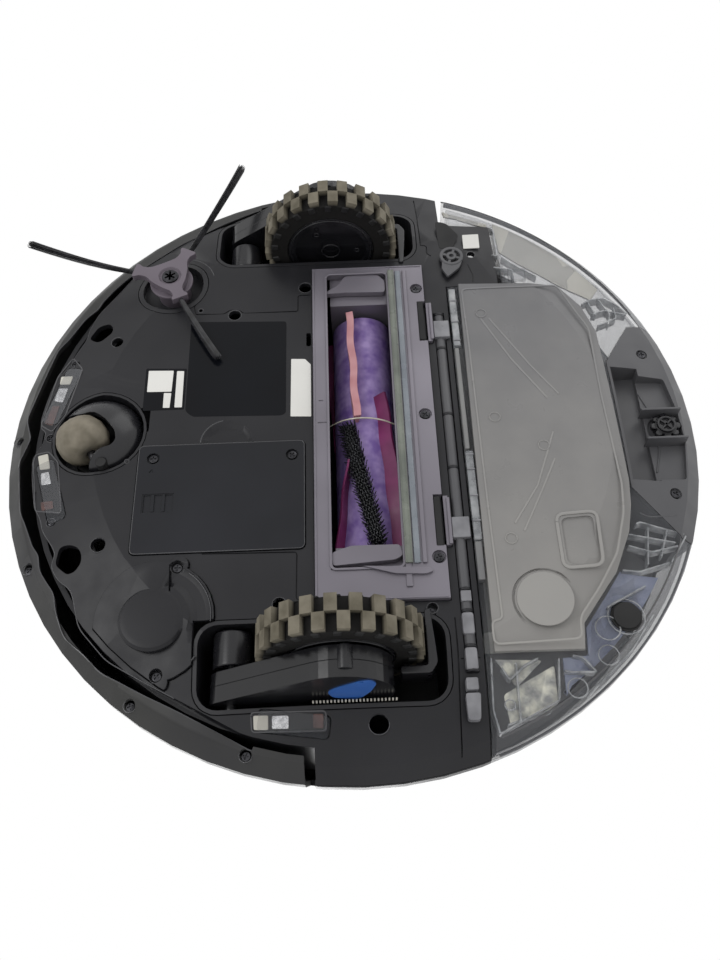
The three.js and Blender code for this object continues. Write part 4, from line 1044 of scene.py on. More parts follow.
@dataclass
class Chassis:
    """The floor plate: its wavy front edge, seams, holes, finger dip, labels and screws."""

    body: str = "chassis"
    seam_width: float = 0.55
    seam_depth: float = 0.7
    bead: float = 0.55
    dip: Point = (-10.6, -60.0)
    front_edge: Outline = (
        (152.1, -42.2), (138.5, -66.3), (126, -90), (106.9, -113.3), (86.2, -126.2), (77, -132.7),
        (66.6, -136.3), (59.4, -136.8), (48.8, -142), (40.3, -144.9), (37.1, -149.4), (24, -152.5),
        (11.2, -154.4), (5.5, -153.6), (3.2, -150.8), (-3, -151), (-7, -153.3), (-11.8, -155.5),
        (-22.2, -154.3), (-39, -150.8), (-44.2, -147.3), (-51.5, -145.2), (-59.8, -139.3), (-63.8, -137.4),
        (-69.4, -139), (-76.2, -135), (-81.7, -127.8), (-99.3, -123), (-114.9, -109.1), (-125.3, -91.6),
        (-134.5, -74.8), (-152.7, -41.9))
    lip_edge: Outline = (
        (151.6, -47), (140.1, -69.5), (124.9, -93.6), (104.8, -117.7), (96.4, -125.3), (87, -131.8),
        (81.4, -133.7), (75.9, -139.8), (61.4, -147.7), (56, -152.2), (39.2, -156.3), (12.5, -162.6),
        (5.5, -160.2), (0.8, -158.6), (-5.9, -160.4), (-12.5, -162.8), (-29.8, -159.8), (-40.5, -157.9),
        (-46.5, -154.7), (-58.7, -149.3), (-62.9, -145.9), (-70.5, -144.7), (-77.4, -140), (-82.4, -136.2),
        (-90.1, -134.8), (-102.7, -130), (-111.2, -119.8), (-119.7, -111.7), (-123.7, -104.1),
        (-130, -92.9), (-138.5, -76.1), (-156.5, -43.4))
    seams: Sequence[Outline] = (
        ((79.9, -18.5), (79.8, -25.8), (69, -25.8), (69.2, -54.7), (71.4, -56.8), (71.6, -61.6),
         (69.2, -64.4), (69.4, -79.6), (74.7, -80.7), (80.9, -80.7)),
        ((-69.1, -69.8), (-69.6, -48), (-70, -26.3), (-93, -26.5), (-93, -18.8)),
        ((-103.0, 41.7), (-122.5, 41.7), (-161.3, 40.5)),
        ((103.5, 47), (106.1, 44), (111.7, 44.4), (111.9, 41.1), (138, 40.8), (154.9, 40.2)),
        ((-122, 42), (-121.6, 51.8)),
    )
    holes: Sequence[tuple[Point, float]] = (
        ((54, -119.4), 3.1), ((-61.9, -116.9), 3.5), ((-18.9, -107.5), 1.0), ((-147.1, 7.2), 4.2),
        ((-94.5, -34), 3.0), ((85, -22), 3.4), ((68, -59), 3.3), ((72, -77), 1.2), ((104, 68), 2.2),
        ((-99.0, 32.5), 2.4))
    slots: Sequence[Outline] = (
        ((54.3, -21.6), (54.3, -19.2), (45.8, -19.2), (45.8, -21.6)),
        ((11.5, -98.4), (11.5, -103.5), (5.5, -103.5), (-3.4, -102.9), (-2.7, -98.5), (6.2, -98.4)),
    )
    crescents: Sequence[Outline] = (
        ((59.7, -135.8), (67.7, -131.3), (68.7, -125.5), (65, -123.0), (61.5, -123.3), (56.9, -128.2),
         (56.4, -131)),
        ((-60.6, -135.6), (-59.9, -130.8), (-61.8, -126.6), (-65.2, -124.6), (-69.4, -124.3),
         (-73.4, -127.0), (-74.4, -130.6), (-69, -137)),
    )

    def build(self) -> list[bpy.types.Object]:
        """Builds every piece of the floor plate.

        Returns:
            The finished pieces.
        """
        screws = Screws(self.body, "floor_screws", ((43.4, -140.6), (-1.2, -147.6), (-47.7, -141.3)),
                        seat=2.1, depth=1.0, head=1.7)
        pan_screws = Screws(self.body, "pan_screws", ((-100.7, 31.6),), seat=2.6)
        return [self.pan(screws, pan_screws), self.edges(screws), screws.build(), pan_screws.build(),
                *self.labels()]

    def groove(self, high: float) -> Solid:
        """The cutter of the wavy gap between the floor plate and the bumper's lip."""
        return Solid.plate([*softened(self.front_edge, 4.0)[3:-3], *softened(self.lip_edge, 4.0)[3:-3][::-1]],
                           -2.0, high)

    def seam_cutters(self) -> list[Solid]:
        """Narrow grooves where two mouldings meet."""
        return [Solid.ribbon(softened(line, 1.4)[3:-3], self.seam_width, -2.0, self.seam_depth).on_floor()
                for line in self.seams]

    def pan(self, *screws: Screws) -> bpy.types.Object:
        """The floor plate itself.

        Args:
            screws: The groups of screws whose seats are cut.

        Returns:
            The finished piece.
        """
        pan = Solid.of_node("base_pan")
        holes = [Solid.disc(p, r, floor_of(p) - 3, floor_of(p) + 3.6, 32) for p, r in self.holes]
        slots = [Solid.plate(softened(line, 1.0), -2.0, 4.0) for line in self.slots]
        crescents = [Solid.plate(softened(line, 2.5), -2.0, 12.0) for line in self.crescents]
        bores = [seat for group in screws for seat in group.seats()]
        pan.cut(self.groove(10.6))
        for cutter in [*self.seam_cutters(), *holes, *slots, *crescents, *bores]:
            pan.cut(cutter)
        pan.added(self.dip_wall())
        return dressed("floor_plate", pan, FLOOR, self.body, ["base_pan"], smooth=15)

    def dip_wall(self) -> Solid:
        """The sloped wall of the half-moon dip that a finger lifts the battery's cover by.

        Returns:
            The solid.
        """
        wall = Solid.disc(self.dip, 13.2, 0.02, 2.6, 64)
        wall.cut(Solid.disc(self.dip, 12.8, -0.4, 2.3, 64, top_radius=9.6),
                 Solid.box(-40, -10.4, -90, -30, -3, 6))
        return wall

    def edges(self, *screws: Screws) -> bpy.types.Object:
        """The polished beads along edges and round holes, painted lighter as highlights.

        Args:
            screws: The groups of screws whose seats get a rim.

        Returns:
            The finished piece.
        """
        line = softened(self.front_edge, 4.0)[9:-9]
        beads = [Solid.ribbon(line, self.bead, -0.12, 0.6).on_floor().bevelled(0.2, 1)]
        beads += [Solid.ring(p, r + 0.1, floor_of(p) + 0.12, 0.24, 32, 6) for p, r in self.holes]
        beads += [rim for group in screws for rim in group.rims()]
        cup = arc(SWEEPER, 22.6, -60, 75, 24)
        beads.append(Solid.ribbon(cup, 0.5, -0.15, 0.3).on_floor().bevelled(0.15, 1))
        beads.append(Solid.ribbon(arc(self.dip, 12.9, 272, 350, 24), 0.6, -0.2, 0.3).bevelled(0.2, 1))
        return dressed("floor_edge_highlights", merged(beads), EDGE_HIGHLIGHT, self.body)

    def labels(self) -> list[bpy.types.Object]:
        """Bare stickers: two dark glossy ones and four white ones.

        Returns:
            The finished pieces.
        """
        dark = Solid.plate(softened(((64.4, -81.5), (62.5, -31.9), (5.4, -31.8), (4.0, -34), (5.2, -77.6),
                                     (8.6, -81.3)), 1.6), -0.1, 0.05)
        small = Solid.plate(softened(((35.4, -102.6), (34.4, -82.0), (9.7, -82.0), (9.7, -102.4)), 0.8),
                            -0.08, 0.05)
        whites = [
            (((33.9, -101.2), (33.4, -88.6), (20.6, -88.9), (20.9, -101.1)), -0.14),
            (((33.1, -86.9), (32.9, -83.3), (10.9, -83.1), (11.0, -86.8)), -0.14),
            (((19.9, -92.6), (19.7, -88.9), (10.9, -89.2), (11.0, -92.5)), -0.14),
            (((38, -29.3), (37.6, -22.3), (34.1, -19.4), (2.6, -19.4), (3.1, -29.5)), -0.1),
        ]
        white = merged([Solid.plate(softened(line, 0.4), low, 0.05) for line, low in whites])
        return [dressed("label_dark", dark.joined(small), LABEL_DARK, self.body),
                dressed("label_white", white, LABEL_WHITE, self.body)]


@dataclass
class BumperRing:
    """The bumper: its wavy lip, the screws in it and the polished bead along its edge, painted lighter as a
    highlight.
    """

    body: str = "bumper"
    places: Sequence[Point] = ((0.3, -164.7), (-68.6, -150.7), (-133.7, -98.1), (-156.7, -48))
    lip_radii: Point = (153.5, 161.5)
    lip_thickness: float = 1.3

    def build(self) -> list[bpy.types.Object]:
        """Builds the bumper's pieces.

        Returns:
            The finished pieces.
        """
        chassis = Chassis()
        screws = Screws(self.body, "bumper_screws", self.places, seat=2.6, depth=2.6, head=2.0)
        ring = Solid.of_node("bumper")
        under = [(radius, BODY.floor_at(radius)) for radius in self.lip_radii]
        lip = Solid.turned([*under, *((radius, low + self.lip_thickness) for radius, low in under[::-1])])
        lip.cut(Solid.box(-200, 200, -47.5, 200, -5, 30))
        ring.added(lip)
        ring.cut(chassis.groove(11.0), self.pan_region())
        for seat in screws.seats():
            ring.cut(seat)
        # The bead and the screws' rims are painted lighter as highlights along the lip's edge.
        line = softened(chassis.lip_edge, 4.0)[3:-3]
        bead = Solid.ribbon(line, 0.6, -0.12, 0.7).on_floor().bevelled(0.2, 1).joined(*screws.rims())
        return [dressed("bumper_ring", ring, BUMPER_SKIN, self.body, ["bumper"], smooth=20),
                dressed("bumper_edge_highlight", bead, EDGE_HIGHLIGHT, self.body), screws.build()]

    def pan_region(self) -> Solid:
        """The cutter that keeps the lip off the floor plate inside the wavy gap."""
        return Solid.plate(softened(Chassis().front_edge, 4.0)[3:-3], -3.0, 14.0)


@dataclass
class BatteryHatch:
    """The cover over the battery: two screws, a moulded battery mark and a lip."""

    body: str = "chassis"

    def build(self) -> list[bpy.types.Object]:
        """Builds the cover and its screws.

        Returns:
            The finished pieces.
        """
        screws = Screws(self.body, "battery_screws", ((-18.3, -94.8), (-18.9, -28.6)), seat=3.1, depth=1.3,
                        base=-0.4)
        cover = Solid.of_node("battery_cover")
        cells = [Solid.box(-47.1, -38.2, y, y + 3.6, -2, 0.0) for y in (-97.6, -92.6, -87.6)]
        mark = Solid.box(-47.6, -37.6, -98.3, -83.6, -2, -0.35)
        mark.cut(Solid.box(-47.0, -38.2, -97.7, -84.2, -3, 1))
        arrow = Solid.plate([(-26.2, -96.3), (-24.4, -95.3), (-24.4, -94.8), (-26.2, -93.9), (-26.2, -94.6),
                             (-25.0, -95.1), (-26.2, -95.6)], -2, -0.3)
        for cutter in [*cells, mark, arrow, *screws.seats()]:
            cover.cut(cutter)
        outline = rounded(-68.2, -11.2, -101.8, -22.8, 2.4)
        # A bead round the cover, with the screws' rims, painted lighter as a highlight.
        bead = Solid.ribbon([*outline, outline[0]], 0.45, -0.75, -0.1).bevelled(0.15, 1)
        bead.joined(*screws.rims())
        return [dressed("battery_hatch", cover, HATCH, self.body, ["battery_cover"], smooth=9),
                dressed("battery_edge_highlight", bead, EDGE_HIGHLIGHT, self.body), screws.build()]


@dataclass
class BlankCover:
    """The round cover on the side that has no brush: a dome, a curved seam and a dished outer band."""

    body: str = "chassis"
    centre: Point = (-99.5, -89.0)
    radius: float = 27.0

    def build(self) -> list[bpy.types.Object]:
        """Builds the cover, its seam and its screws.

        Returns:
            The finished pieces.
        """
        screws = Screws(self.body, "blank_screws", ((-75.4, -79.6), (-123.2, -86.4)), seat=2.9, depth=1.4)
        cover = Solid.of_node("blank_cover")
        dish = Solid.turned([(16.2, -6), (16.2, -0.9), (19.5, 0.0), (23.5, -0.2), (26.2, -1.2), (26.4, -6)],
                            96)
        dish.moved(*self.centre).cut(Solid.box(-98.0, -60, -130, -82.5, -8, 8),
                                     Solid.box(-140, -97.9, -130, -91, -8, 8))
        cover.cut(dish)
        seam = softened(((-71.4, -82.8), (-90.6, -81.8), (-94.8, -78.3), (-99.7, -76.9), (-105.5, -77.9),
                         (-111.2, -80.6), (-115.4, -85.4), (-119.8, -90.4), (-124.7, -90.5)), 3.0)[4:-4]
        cover.cut(Solid.ribbon(seam, 0.8, -8, 0.6), *screws.seats())
        top = Solid.turned([(0, -2.3), (11.0, -2.3), (13.4, -1.9), (14.6, -0.8), (14.6, 0.6), (0, 0.6)], 96)
        cover.added(top.moved(*self.centre))
        # The bead along the dished band, with the screws' rims, painted lighter as a highlight.
        bead = Solid.ribbon(arc(self.centre, self.radius - 1.4, 36, 158, 40), 0.5, -1.5, -0.2).on_floor()
        bead.bevelled(0.15, 1).cut(Solid.box(-142, -101.6, -69.8, -40, -5, 14))
        bead.joined(*screws.rims())
        return [dressed("blank_cover_dome", cover, FLOOR, self.body, ["blank_cover"], smooth=24),
                dressed("blank_cover_edge_highlight", bead, EDGE_HIGHLIGHT, self.body), screws.build()]


@dataclass
class CasterSet:
    """The domed fork with its curved slot, and the worn roller in it."""

    centre: Point = (-2.0, -123.0)
    radius: float = 21.4
    inner_share: float = 0.86
    crown: float = 3.4
    slot: Outline = (
        (5.7, -130.9), (7.2, -125.1), (2.5, -118.6), (-4.5, -113.2), (-9.0, -112.8), (-12.0, -115.1),
        (-13.4, -120), (-17.9, -124.6), (-24.0, -126.5), (-30, -126), (-30, -150), (12, -150))

    def build(self) -> list[bpy.types.Object]:
        """Builds the fork and the roller.

        Returns:
            The finished pieces.
        """
        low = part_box("caster_yoke")[0].z / MILLIMETRE - BASE_HEIGHT
        outer = [(self.radius * math.sin(a), low + 14 * (1 - math.cos(a)))
                 for a in (math.radians(6 * i) for i in range(16))]
        inner = [(self.inner_share * r, z + self.crown) for r, z in outer[::-1]]
        dome = Solid.turned([*outer, (self.radius, low + 17), (self.radius * self.inner_share, low + 17.5),
                             *inner], 96)
        dome.moved(*self.centre)
        dome.cut(Solid.plate(softened(self.slot, 3.2, 6), low - 4, low + 22))
        post = Solid.disc((-20.5, -119.0), 2.6, low + 3.4, low + 12, 24).bevelled(0.6, 2)
        stem = Solid.disc(self.centre, 17.0, 12.0, 23.0, 48)
        roller = Solid.of_node("caster_wheel")
        return [dressed("caster_roller", roller, CASTER_BALL, "caster_wheel", ["caster_wheel"], smooth=50),
                dressed("caster_dome", dome, GLOSS_SOFT, "caster_fork", smooth=40),
                dressed("caster_post", post.joined(stem), RUBBER, "caster_fork", ["caster_yoke"])]


@dataclass
class SideBrush:
    """The three-armed sweeper: its hub, a bright screw and three bundles of bristles."""

    body: str = "side_brush"
    centre: Point = SWEEPER
    arms: Sequence[float] = (-75.0, 27.0, 157.0)
    reaches: Sequence[float] = (1.0, 1.0, 0.82)
    tips: Sequence[Point3] = ((112.5, -169.4, -12.0), (166.0, -56.5, -12.0), (38.5, -66.0, -3.0))
    strands: int = 64

    def build(self) -> list[bpy.types.Object]:
        """Builds the hub, the screw and the bundles."""
        return [self.hub(), self.screw(), *self.bundles()]

    def hub(self) -> bpy.types.Object:
        """The star-shaped hub with flared ends and a dish round the screw.

        Returns:
            The finished piece.
        """
        outline: list[Point] = []
        for degrees, share in zip(self.arms, self.reaches):
            ahead = Vector(polar((0, 0), 1, degrees))
            side = Vector((-ahead.y, ahead.x))
            for reach, half in ((8.0, -6.2), (12.2, -3.2), (16.2, -2.9), (18.4, -4.4), (20.0, -4.2),
                                (20.0, 4.2), (18.4, 4.4), (16.2, 2.9), (12.2, 3.2), (8.0, 6.2)):
                point = Vector(self.centre) + ahead * (reach * share) + side * half
                outline.append((point.x, point.y))
        low, high = self.heights()
        star = Solid.plate(softened(outline, 2.0, 3), low, low + 3.6).bevelled(0.7, 2)
        star.cut(Solid.disc(self.centre, 7.6, low - 2, low + 1.1, 64, top_radius=5.2))
        stem = Solid.disc(self.centre, 8.6, low + 3.0, high, 48)
        skirt = Solid.disc(self.centre, 11.4, low + 4.4, low + 6.0, 64).bevelled(0.5, 2)
        star.added(stem, skirt)
        return dressed("sweeper_hub", star, HUB_MAUVE, self.body, ["side_brush_hub"])

    def heights(self) -> tuple[float, float]:
        """The hub's lowest and highest height."""
        low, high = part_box("side_brush_hub")
        return low.z / MILLIMETRE - BASE_HEIGHT, high.z / MILLIMETRE - BASE_HEIGHT

    def screw(self) -> bpy.types.Object:
        """The bright screw in the hub's middle, with a star recess.

        Returns:
            The finished piece.
        """
        low, _ = self.heights()
        head = Solid.disc(self.centre, 4.4, low + 0.15, low + 2.0, 40).bevelled(0.6, 2)
        bar = (-3.0, 3.0, -0.55, 0.55, low - 1, low + 1.1)
        bars = [Solid.box(*bar).turned_by(60 * i, (0, 0)).moved(*self.centre) for i in range(3)]
        head.cut(*bars)
        # Dressed in the screws' steel, painted dark as shade.
        return dressed("sweeper_screw", head, STEEL_SHADED, self.body)

    def bundles(self) -> list[bpy.types.Object]:
        """The bundles of bristles, each strand a thin bent rod.

        Returns:
            The finished pieces.
        """
        low, _ = self.heights()
        pieces = []
        for i, (degrees, tip) in enumerate(zip(self.arms, self.tips)):
            start = Vector((*polar(self.centre, 18.5 * self.reaches[i], degrees), low + 2.0))
            stop = Vector(tip)
            lean = Vector((*polar((0, 0), 1, degrees), 0))
            bend = start + lean * (stop - start).length * (0.5 if i == 0 else 0.35)
            bundle = Solid()
            for k in range(self.strands):
                spread = math.sqrt((k + 0.5) / self.strands)
                reach = 1.0 - 0.05 * ((k * 7) % 5) / 5
                self.strand(bundle, (start, bend, stop), GOLDEN_ANGLE * k, spread, reach)
            pieces.append(dressed(f"bristles_{i + 1}", bundle, BRISTLE, self.body, [f"bristle_tuft_{i + 1}"]))
        return pieces

    def strand(self, bundle: Solid, path: tuple[Vector, Vector, Vector], turn: float, spread: float,
               reach: float) -> None:
        """Adds one bristle to a bundle.

        Args:
            bundle: The bundle it joins.
            path: Start, bend and end of the bundle's middle line.
            turn: Its direction from the middle line, in radians.
            spread: Its share of the bundle's radius.
            reach: Its share of the bundle's length.
        """
        start, bend, stop = path
        side = (stop - start).cross(Vector((0, 0, 1))).normalized()
        up = side.cross(stop - start).normalized()
        line = []
        for s in range(10):
            t = reach * s / 9
            middle = start * (1 - t) ** 2 + bend * (2 * t * (1 - t)) + stop * t ** 2
            radius = spread * (1.15 + 0.95 * t) * (1 + 0.12 * math.sin(5 * t + turn))
            line.append(middle + (side * math.cos(turn) + up * math.sin(turn)) * radius)
        bundle.tube(line, 0.2)


def slab(outline: Outline, low: float, high: float, corner: float = 0.8, edge: float = 0.25) -> Solid:
    """A plate with rounded corners and softly rounded edges.

    Args:
        outline: Its corners.
        low: Lower height.
        high: Upper height.
        corner: How far each corner is rounded.
        edge: How far each edge is rounded.

    Returns:
        The solid.
    """
    return Solid.plate(softened(outline, corner, 3), low, high).bevelled(edge, 2)


def block(x0: float, x1: float, y0: float, y1: float, z0: float, z1: float, edge: float = 0.4) -> Solid:
    """A block with rounded edges.

    Args:
        x0: Lowest X.
        x1: Highest X.
        y0: Lowest Y.
        y1: Highest Y.
        z0: Lowest height.
        z1: Highest height.
        edge: How far each edge is rounded.

    Returns:
        The solid.
    """
    return Solid.box(x0, x1, y0, y1, z0, z1).bevelled(edge, 2)


@dataclass
class DriveWheel:
    """The small shapes of both drive wheels, their arms and their wells."""

    axle: Point = AXLE
    pivot: Point = (-55.0, 10.0)
    faces: Sequence[tuple[float, float]] = ((106.5, -1.0), (121.5, 1.0))
    nub_count: int = 22
    nub_radius: float = 30.2
    glint_count: int = 24
    glint_step: float = 1.5
    sticker_x: float = -136.4
    sticker: Outline = ((-13.5, -7.3), (-10, -12.4), (-3.9, -17), (0.2, -20.4), (4.5, -21.2), (6.8, -16.9),
                        (4.4, -6.4), (-0.3, 3), (-6.5, 2.1), (-11.4, 0))

    def build(self) -> list[bpy.types.Object]:
        """Builds both sides, the right arm's sticker and a row of cream blocks in its well, painted glints on
        a coiled spring's turns.

        Returns:
            The finished pieces.
        """
        pieces = []
        for side, sign in (("left", 1.0), ("right", -1.0)):
            pieces += [self.nubs(side, sign), self.hub_marks(side, sign), self.drum(side, sign),
                       self.fender(side, sign)]
        leaf = Solid.plate(softened(self.sticker, 4.0), -0.25, 0.15)
        upright = Matrix(((0, 0, 1, self.sticker_x), (1, 0, 0, 0), (0, 1, 0, 0), (0, 0, 0, 1)))
        pieces.append(dressed("arm_sticker", leaf.placed(upright), LABEL_BLUE, "right_arm"))
        # Small cream blocks painted along the well's wall as the glints of a coiled spring.
        spring_glints = [block(-138.3, -137.4, -20 + self.glint_step * i, -19.3 + self.glint_step * i, 0.4, 2.0, 0.1)
                 for i in range(self.glint_count)]
        pieces.append(dressed("well_spring_glints", merged(spring_glints), CREAM, "chassis"))
        return pieces

    def nubs(self, side: str, sign: float) -> bpy.types.Object:
        """The row of small blocks on each sidewall, under the lugs.

        Args:
            side: The wheel's side, as its body's name has it.
            sign: 1 on the left and -1 on the right.

        Returns:
            The finished piece.
        """
        solids = []
        for face, out in self.faces:
            for i in range(self.nub_count):
                angle = 360 * (i + 0.5) / self.nub_count
                y, z = polar(self.axle, self.nub_radius, angle)
                nub = Solid.box(-0.5, 0.6, -1.8, 1.8, -1.7, 1.7).bevelled(0.4, 1)
                place = Matrix.Translation((sign * (face + 0.1 * out), y, z))
                solids.append(nub.placed(place @ Matrix.Rotation(math.radians(angle), 4, "X")))
        return dressed(f"tyre_nubs_{side}", merged(solids), RUBBER, f"{side}_wheel")

    def hub_marks(self, side: str, sign: float) -> bpy.types.Object:
        """The beads and dimples on the wheel's faces.

        Args:
            side: The wheel's side, as its body's name has it.
            sign: 1 on the left and -1 on the right.

        Returns:
            The finished piece.
        """
        y, z = self.axle
        solids = []
        for face, _ in self.faces:
            solids += [Solid.ring((0, 0), 21.6, 0, 0.45, 96).along_x(sign * face, y, z),
                       Solid.ring((0, 0), 4.7, 0, 0.35, 48).along_x(sign * face, y, z)]
            for degrees in (90, 210, 330):
                dimple = Solid.ring(polar((0, 0), 14, degrees), 1.2, 0, 0.3, 24)
                solids.append(dimple.along_x(sign * face, y, z))
        return dressed(f"hub_marks_{side}", merged(solids), GLOSS_SOFT, f"{side}_wheel")

    def drum(self, side: str, sign: float) -> bpy.types.Object:
        """The drum round the arm's pivot and the boss under the axle.

        Args:
            side: The arm's side, as its body's name has it.
            sign: 1 on the left and -1 on the right.

        Returns:
            The finished piece.
        """
        drum = Solid.disc((0, 0), 8.4, -8.0, 8.0, 64).bevelled(1.0, 3).along_x(sign * 112.5, *self.pivot)
        boss = Solid.disc((0, 0), 3.4, -5.0, 5.0, 32).bevelled(0.5, 2).along_x(sign * 128.0, -5.5, -24.5)
        return dressed(f"arm_drum_{side}", drum.joined(boss), GLOSS_SOFT, f"{side}_arm")

    def fender(self, side: str, sign: float) -> bpy.types.Object:
        """The bent guard behind the wheel.

        Args:
            side: The wheel's side, for the piece's name.
            sign: 1 on the left and -1 on the right.

        Returns:
            The finished piece.
        """
        corners = [(99.7, 28.7), (99.7, 31.2), (116.3, 32.6), (123.5, 33.0), (128.0, 30.0), (128.0, 17.0),
                   (124.6, 17.0), (124.6, 28.7)]
        guard = Solid.plate(softened([(sign * x, y) for x, y in corners], 1.4), -1.2, 12.0).bevelled(0.5, 2)
        return dressed(f"wheel_guard_{side}", guard, GLOSS_SOFT, "chassis")


@dataclass
class CliffSensors:
    """The four drop sensors: dark beds in raised frames painted lighter as highlights, with light, metal and
    dull blocks on them.
    """

    frames: Sequence[Outline] = (
        ((48, -142.7), (39.5, -136.4), (33.7, -137.3), (11.5, -141.5), (2.6, -147.5), (7.5, -154.0),
         (37.1, -149.4)),
        ((-9.4, -154.3), (-8.9, -147.4), (-15.8, -141.7), (-43.4, -136.8), (-40.6, -150.1), (-13.5, -154.8)),
        ((-140.2, -45.8), (-141, -14.5), (-148.8, -14.6), (-148, -45.4)),
        ((140.2, -45.8), (141, -14.5), (148.8, -14.6), (148, -45.4)))
    bright: Sequence[Outline] = (
        ((36.8, -147.7), (35.7, -141.0), (30.6, -141.9), (31.7, -147.7)),
        ((-10.5, -153.0), (-9.9, -147.8), (-18.6, -145.5), (-18.5, -150.8)),
        ((-141.5, -44.8), (-141.7, -38.5), (-147.5, -38.5), (-147.2, -44.6)),
        ((141.5, -44.8), (141.7, -38.5), (147.5, -38.5), (147.2, -44.6)))
    metal: Sequence[Outline] = (
        ((29.3, -147.8), (28.3, -142.6), (19.6, -144.3), (21.5, -149.3)),
        ((-20.4, -150.2), (-20.2, -145.9), (-27.1, -143.8), (-27.2, -148.9)),
        ((-142, -37), (-142, -30), (-147.4, -30), (-147.2, -37)),
        ((142, -37), (142, -30), (147.4, -30), (147.2, -37)))
    dull: Sequence[Outline] = (
        ((18.8, -149.6), (17.9, -145.6), (6.0, -147.7), (8.4, -152.4)),
        ((-36.2, -148.2), (-36.3, -141.9), (-40.4, -141), (-41.0, -146.9)),
        ((-142, -20), (-142, -15.6), (-147.8, -15.6), (-147.6, -20)),
        ((142, -20), (142, -15.6), (147.8, -15.6), (147.6, -20)))

    def build(self) -> list[bpy.types.Object]:
        """Builds the beds, the frames and the blocks.

        Returns:
            The finished pieces.
        """
        beds = [Solid.plate(softened(line, 1.2), 0.15, 0.5).on_floor() for line in self.frames]
        loops = [softened(line, 1.6) for line in self.frames]
        rims = [Solid.ribbon([*loop, loop[0]], 0.7, -0.25, 0.5).on_floor().bevelled(0.2, 1) for loop in loops]
        pieces = [dressed("sensor_beds", merged(beds), GLOSS, "chassis"),
                  dressed("sensor_frame_highlights", merged(rims), EDGE_HIGHLIGHT, "chassis")]
        for name, lines, finish in (("lights", self.bright, CREAM), ("metal", self.metal, STEEL_BRIGHT),
                                    ("dull", self.dull, SENSOR_RED)):
            blocks = [Solid.plate(softened(line, 0.8), -0.1, 0.4).on_floor().bevelled(0.15, 1)
                      for line in lines]
            pieces.append(dressed(f"sensor_{name}", merged(blocks), finish, "chassis"))
        return pieces


@dataclass
class BrushCover:
    """The cover that holds the roll: rims, screws, seals, end plates and latch marks."""

    body: str = "brush_cover"
    mouth: tuple[float, float, float, float] = (-80.5, 91.0, -11.0, 21.5)

    def build(self) -> list[bpy.types.Object]:
        """Builds the cover's pieces.

        Returns:
            The finished pieces.
        """
        screws = Screws(self.body, "cover_screws", ((79.3, 36.5), (0.0, 36.0), (-76.0, 37.0)), seat=3.2,
                        depth=1.6, head=2.4, base=-2.5)
        frame = Solid.of_node("brush_frame")
        ticks = [Solid.box(9.7, 10.3, -15.6, -13.4, -3, -2.1), Solid.box(-3.1, -2.5, -16.1, -11.8, -3, -2.1)]
        frame.cut(*screws.seats(), *ticks)
        loop = rounded(*self.mouth, 2.5)
        rim = Solid.ribbon([*loop, loop[0]], 1.3, -3.3, -2.3).bevelled(0.35, 2)
        outer = ((94.9, 39.6), (94.9, -17.5), (-94.9, -17.5), (-94.9, 39.6))
        step = Solid.ribbon(outer, 0.8, -2.9, -2.3).bevelled(0.25, 2)
        ridge = block(-79, 91.5, 29.6, 31.6, -3.7, -2.3)
        plates = [slab(((78.5, -11.4), (80.6, -10.2), (84.5, -4.4), (89.8, -1.4), (91.4, 3.2), (91, 16.3),
                        (86.5, 20.2), (78.5, 20.2), (79.1, -1.3)), -1.8, 1.4, 1.6, 0.6),
                  slab(((-72, -11), (-68.7, -2), (-68.9, 20), (-74.3, 21.4), (-76.5, 17.7), (-78.5, -10.4)),
                       -2.2, 1.4, 1.6, 0.6),
                  slab(((-79.6, 2.7), (-81.6, 32.3), (-83.2, 34.2), (-84.5, 30.7), (-83.9, 17.3)), -4.0, -2.0,
                       1.2),
                  block(-90, -76.5, 21.8, 24.6, -3.4, -2.2), block(84, 93.5, 22.6, 24.2, -3.4, -2.2)]
        clear = Solid.ribbon(((91.5, 27.2), (-79, 27.2)), 3.0, -3.6, -2.3).bevelled(0.5, 2)
        shine = merged([Solid.ribbon(((91.5, y), (-79, y)), 0.45, -4.5, -4.1).bevelled(0.12, 1)
                        for y in (22.5, 24.6)])
        return [dressed("cover_frame", frame, MAUVE, self.body, ["brush_frame"], smooth=9),
                dressed("cover_rims", merged([rim, step, ridge, *plates]), MAUVE, self.body),
                dressed("seal_clear", clear, SEAL_CLEAR, self.body),
                dressed("seal_edges", shine, SEAL, self.body),
                *self.hooks(), screws.build()]

    def hooks(self) -> list[bpy.types.Object]:
        """The slots beside the latch tabs as thin black sheets of painted shade, and the tabs' lit faces.

        Returns:
            The finished pieces.
        """
        # Thin black sheets on the cover stand in for the shade inside the slots.
        slots = merged([Solid.box(x - 12.4, x + 12.4, 36.6, 39.4, -2.62, -2.4) for x in (57.8, -58.2)])
        lips = [(side, block(x - 11.8, x + 11.8, 42.2, 43.8, -2.6, -1.2))
                for side, x in (("left", 57.6), ("right", -58))]
        return [dressed("latch_slot_shade", slots, RUBBER, self.body),
                *[dressed(f"latch_lip_{side}", lip, MAUVE, f"{side}_latch") for side, lip in lips]]


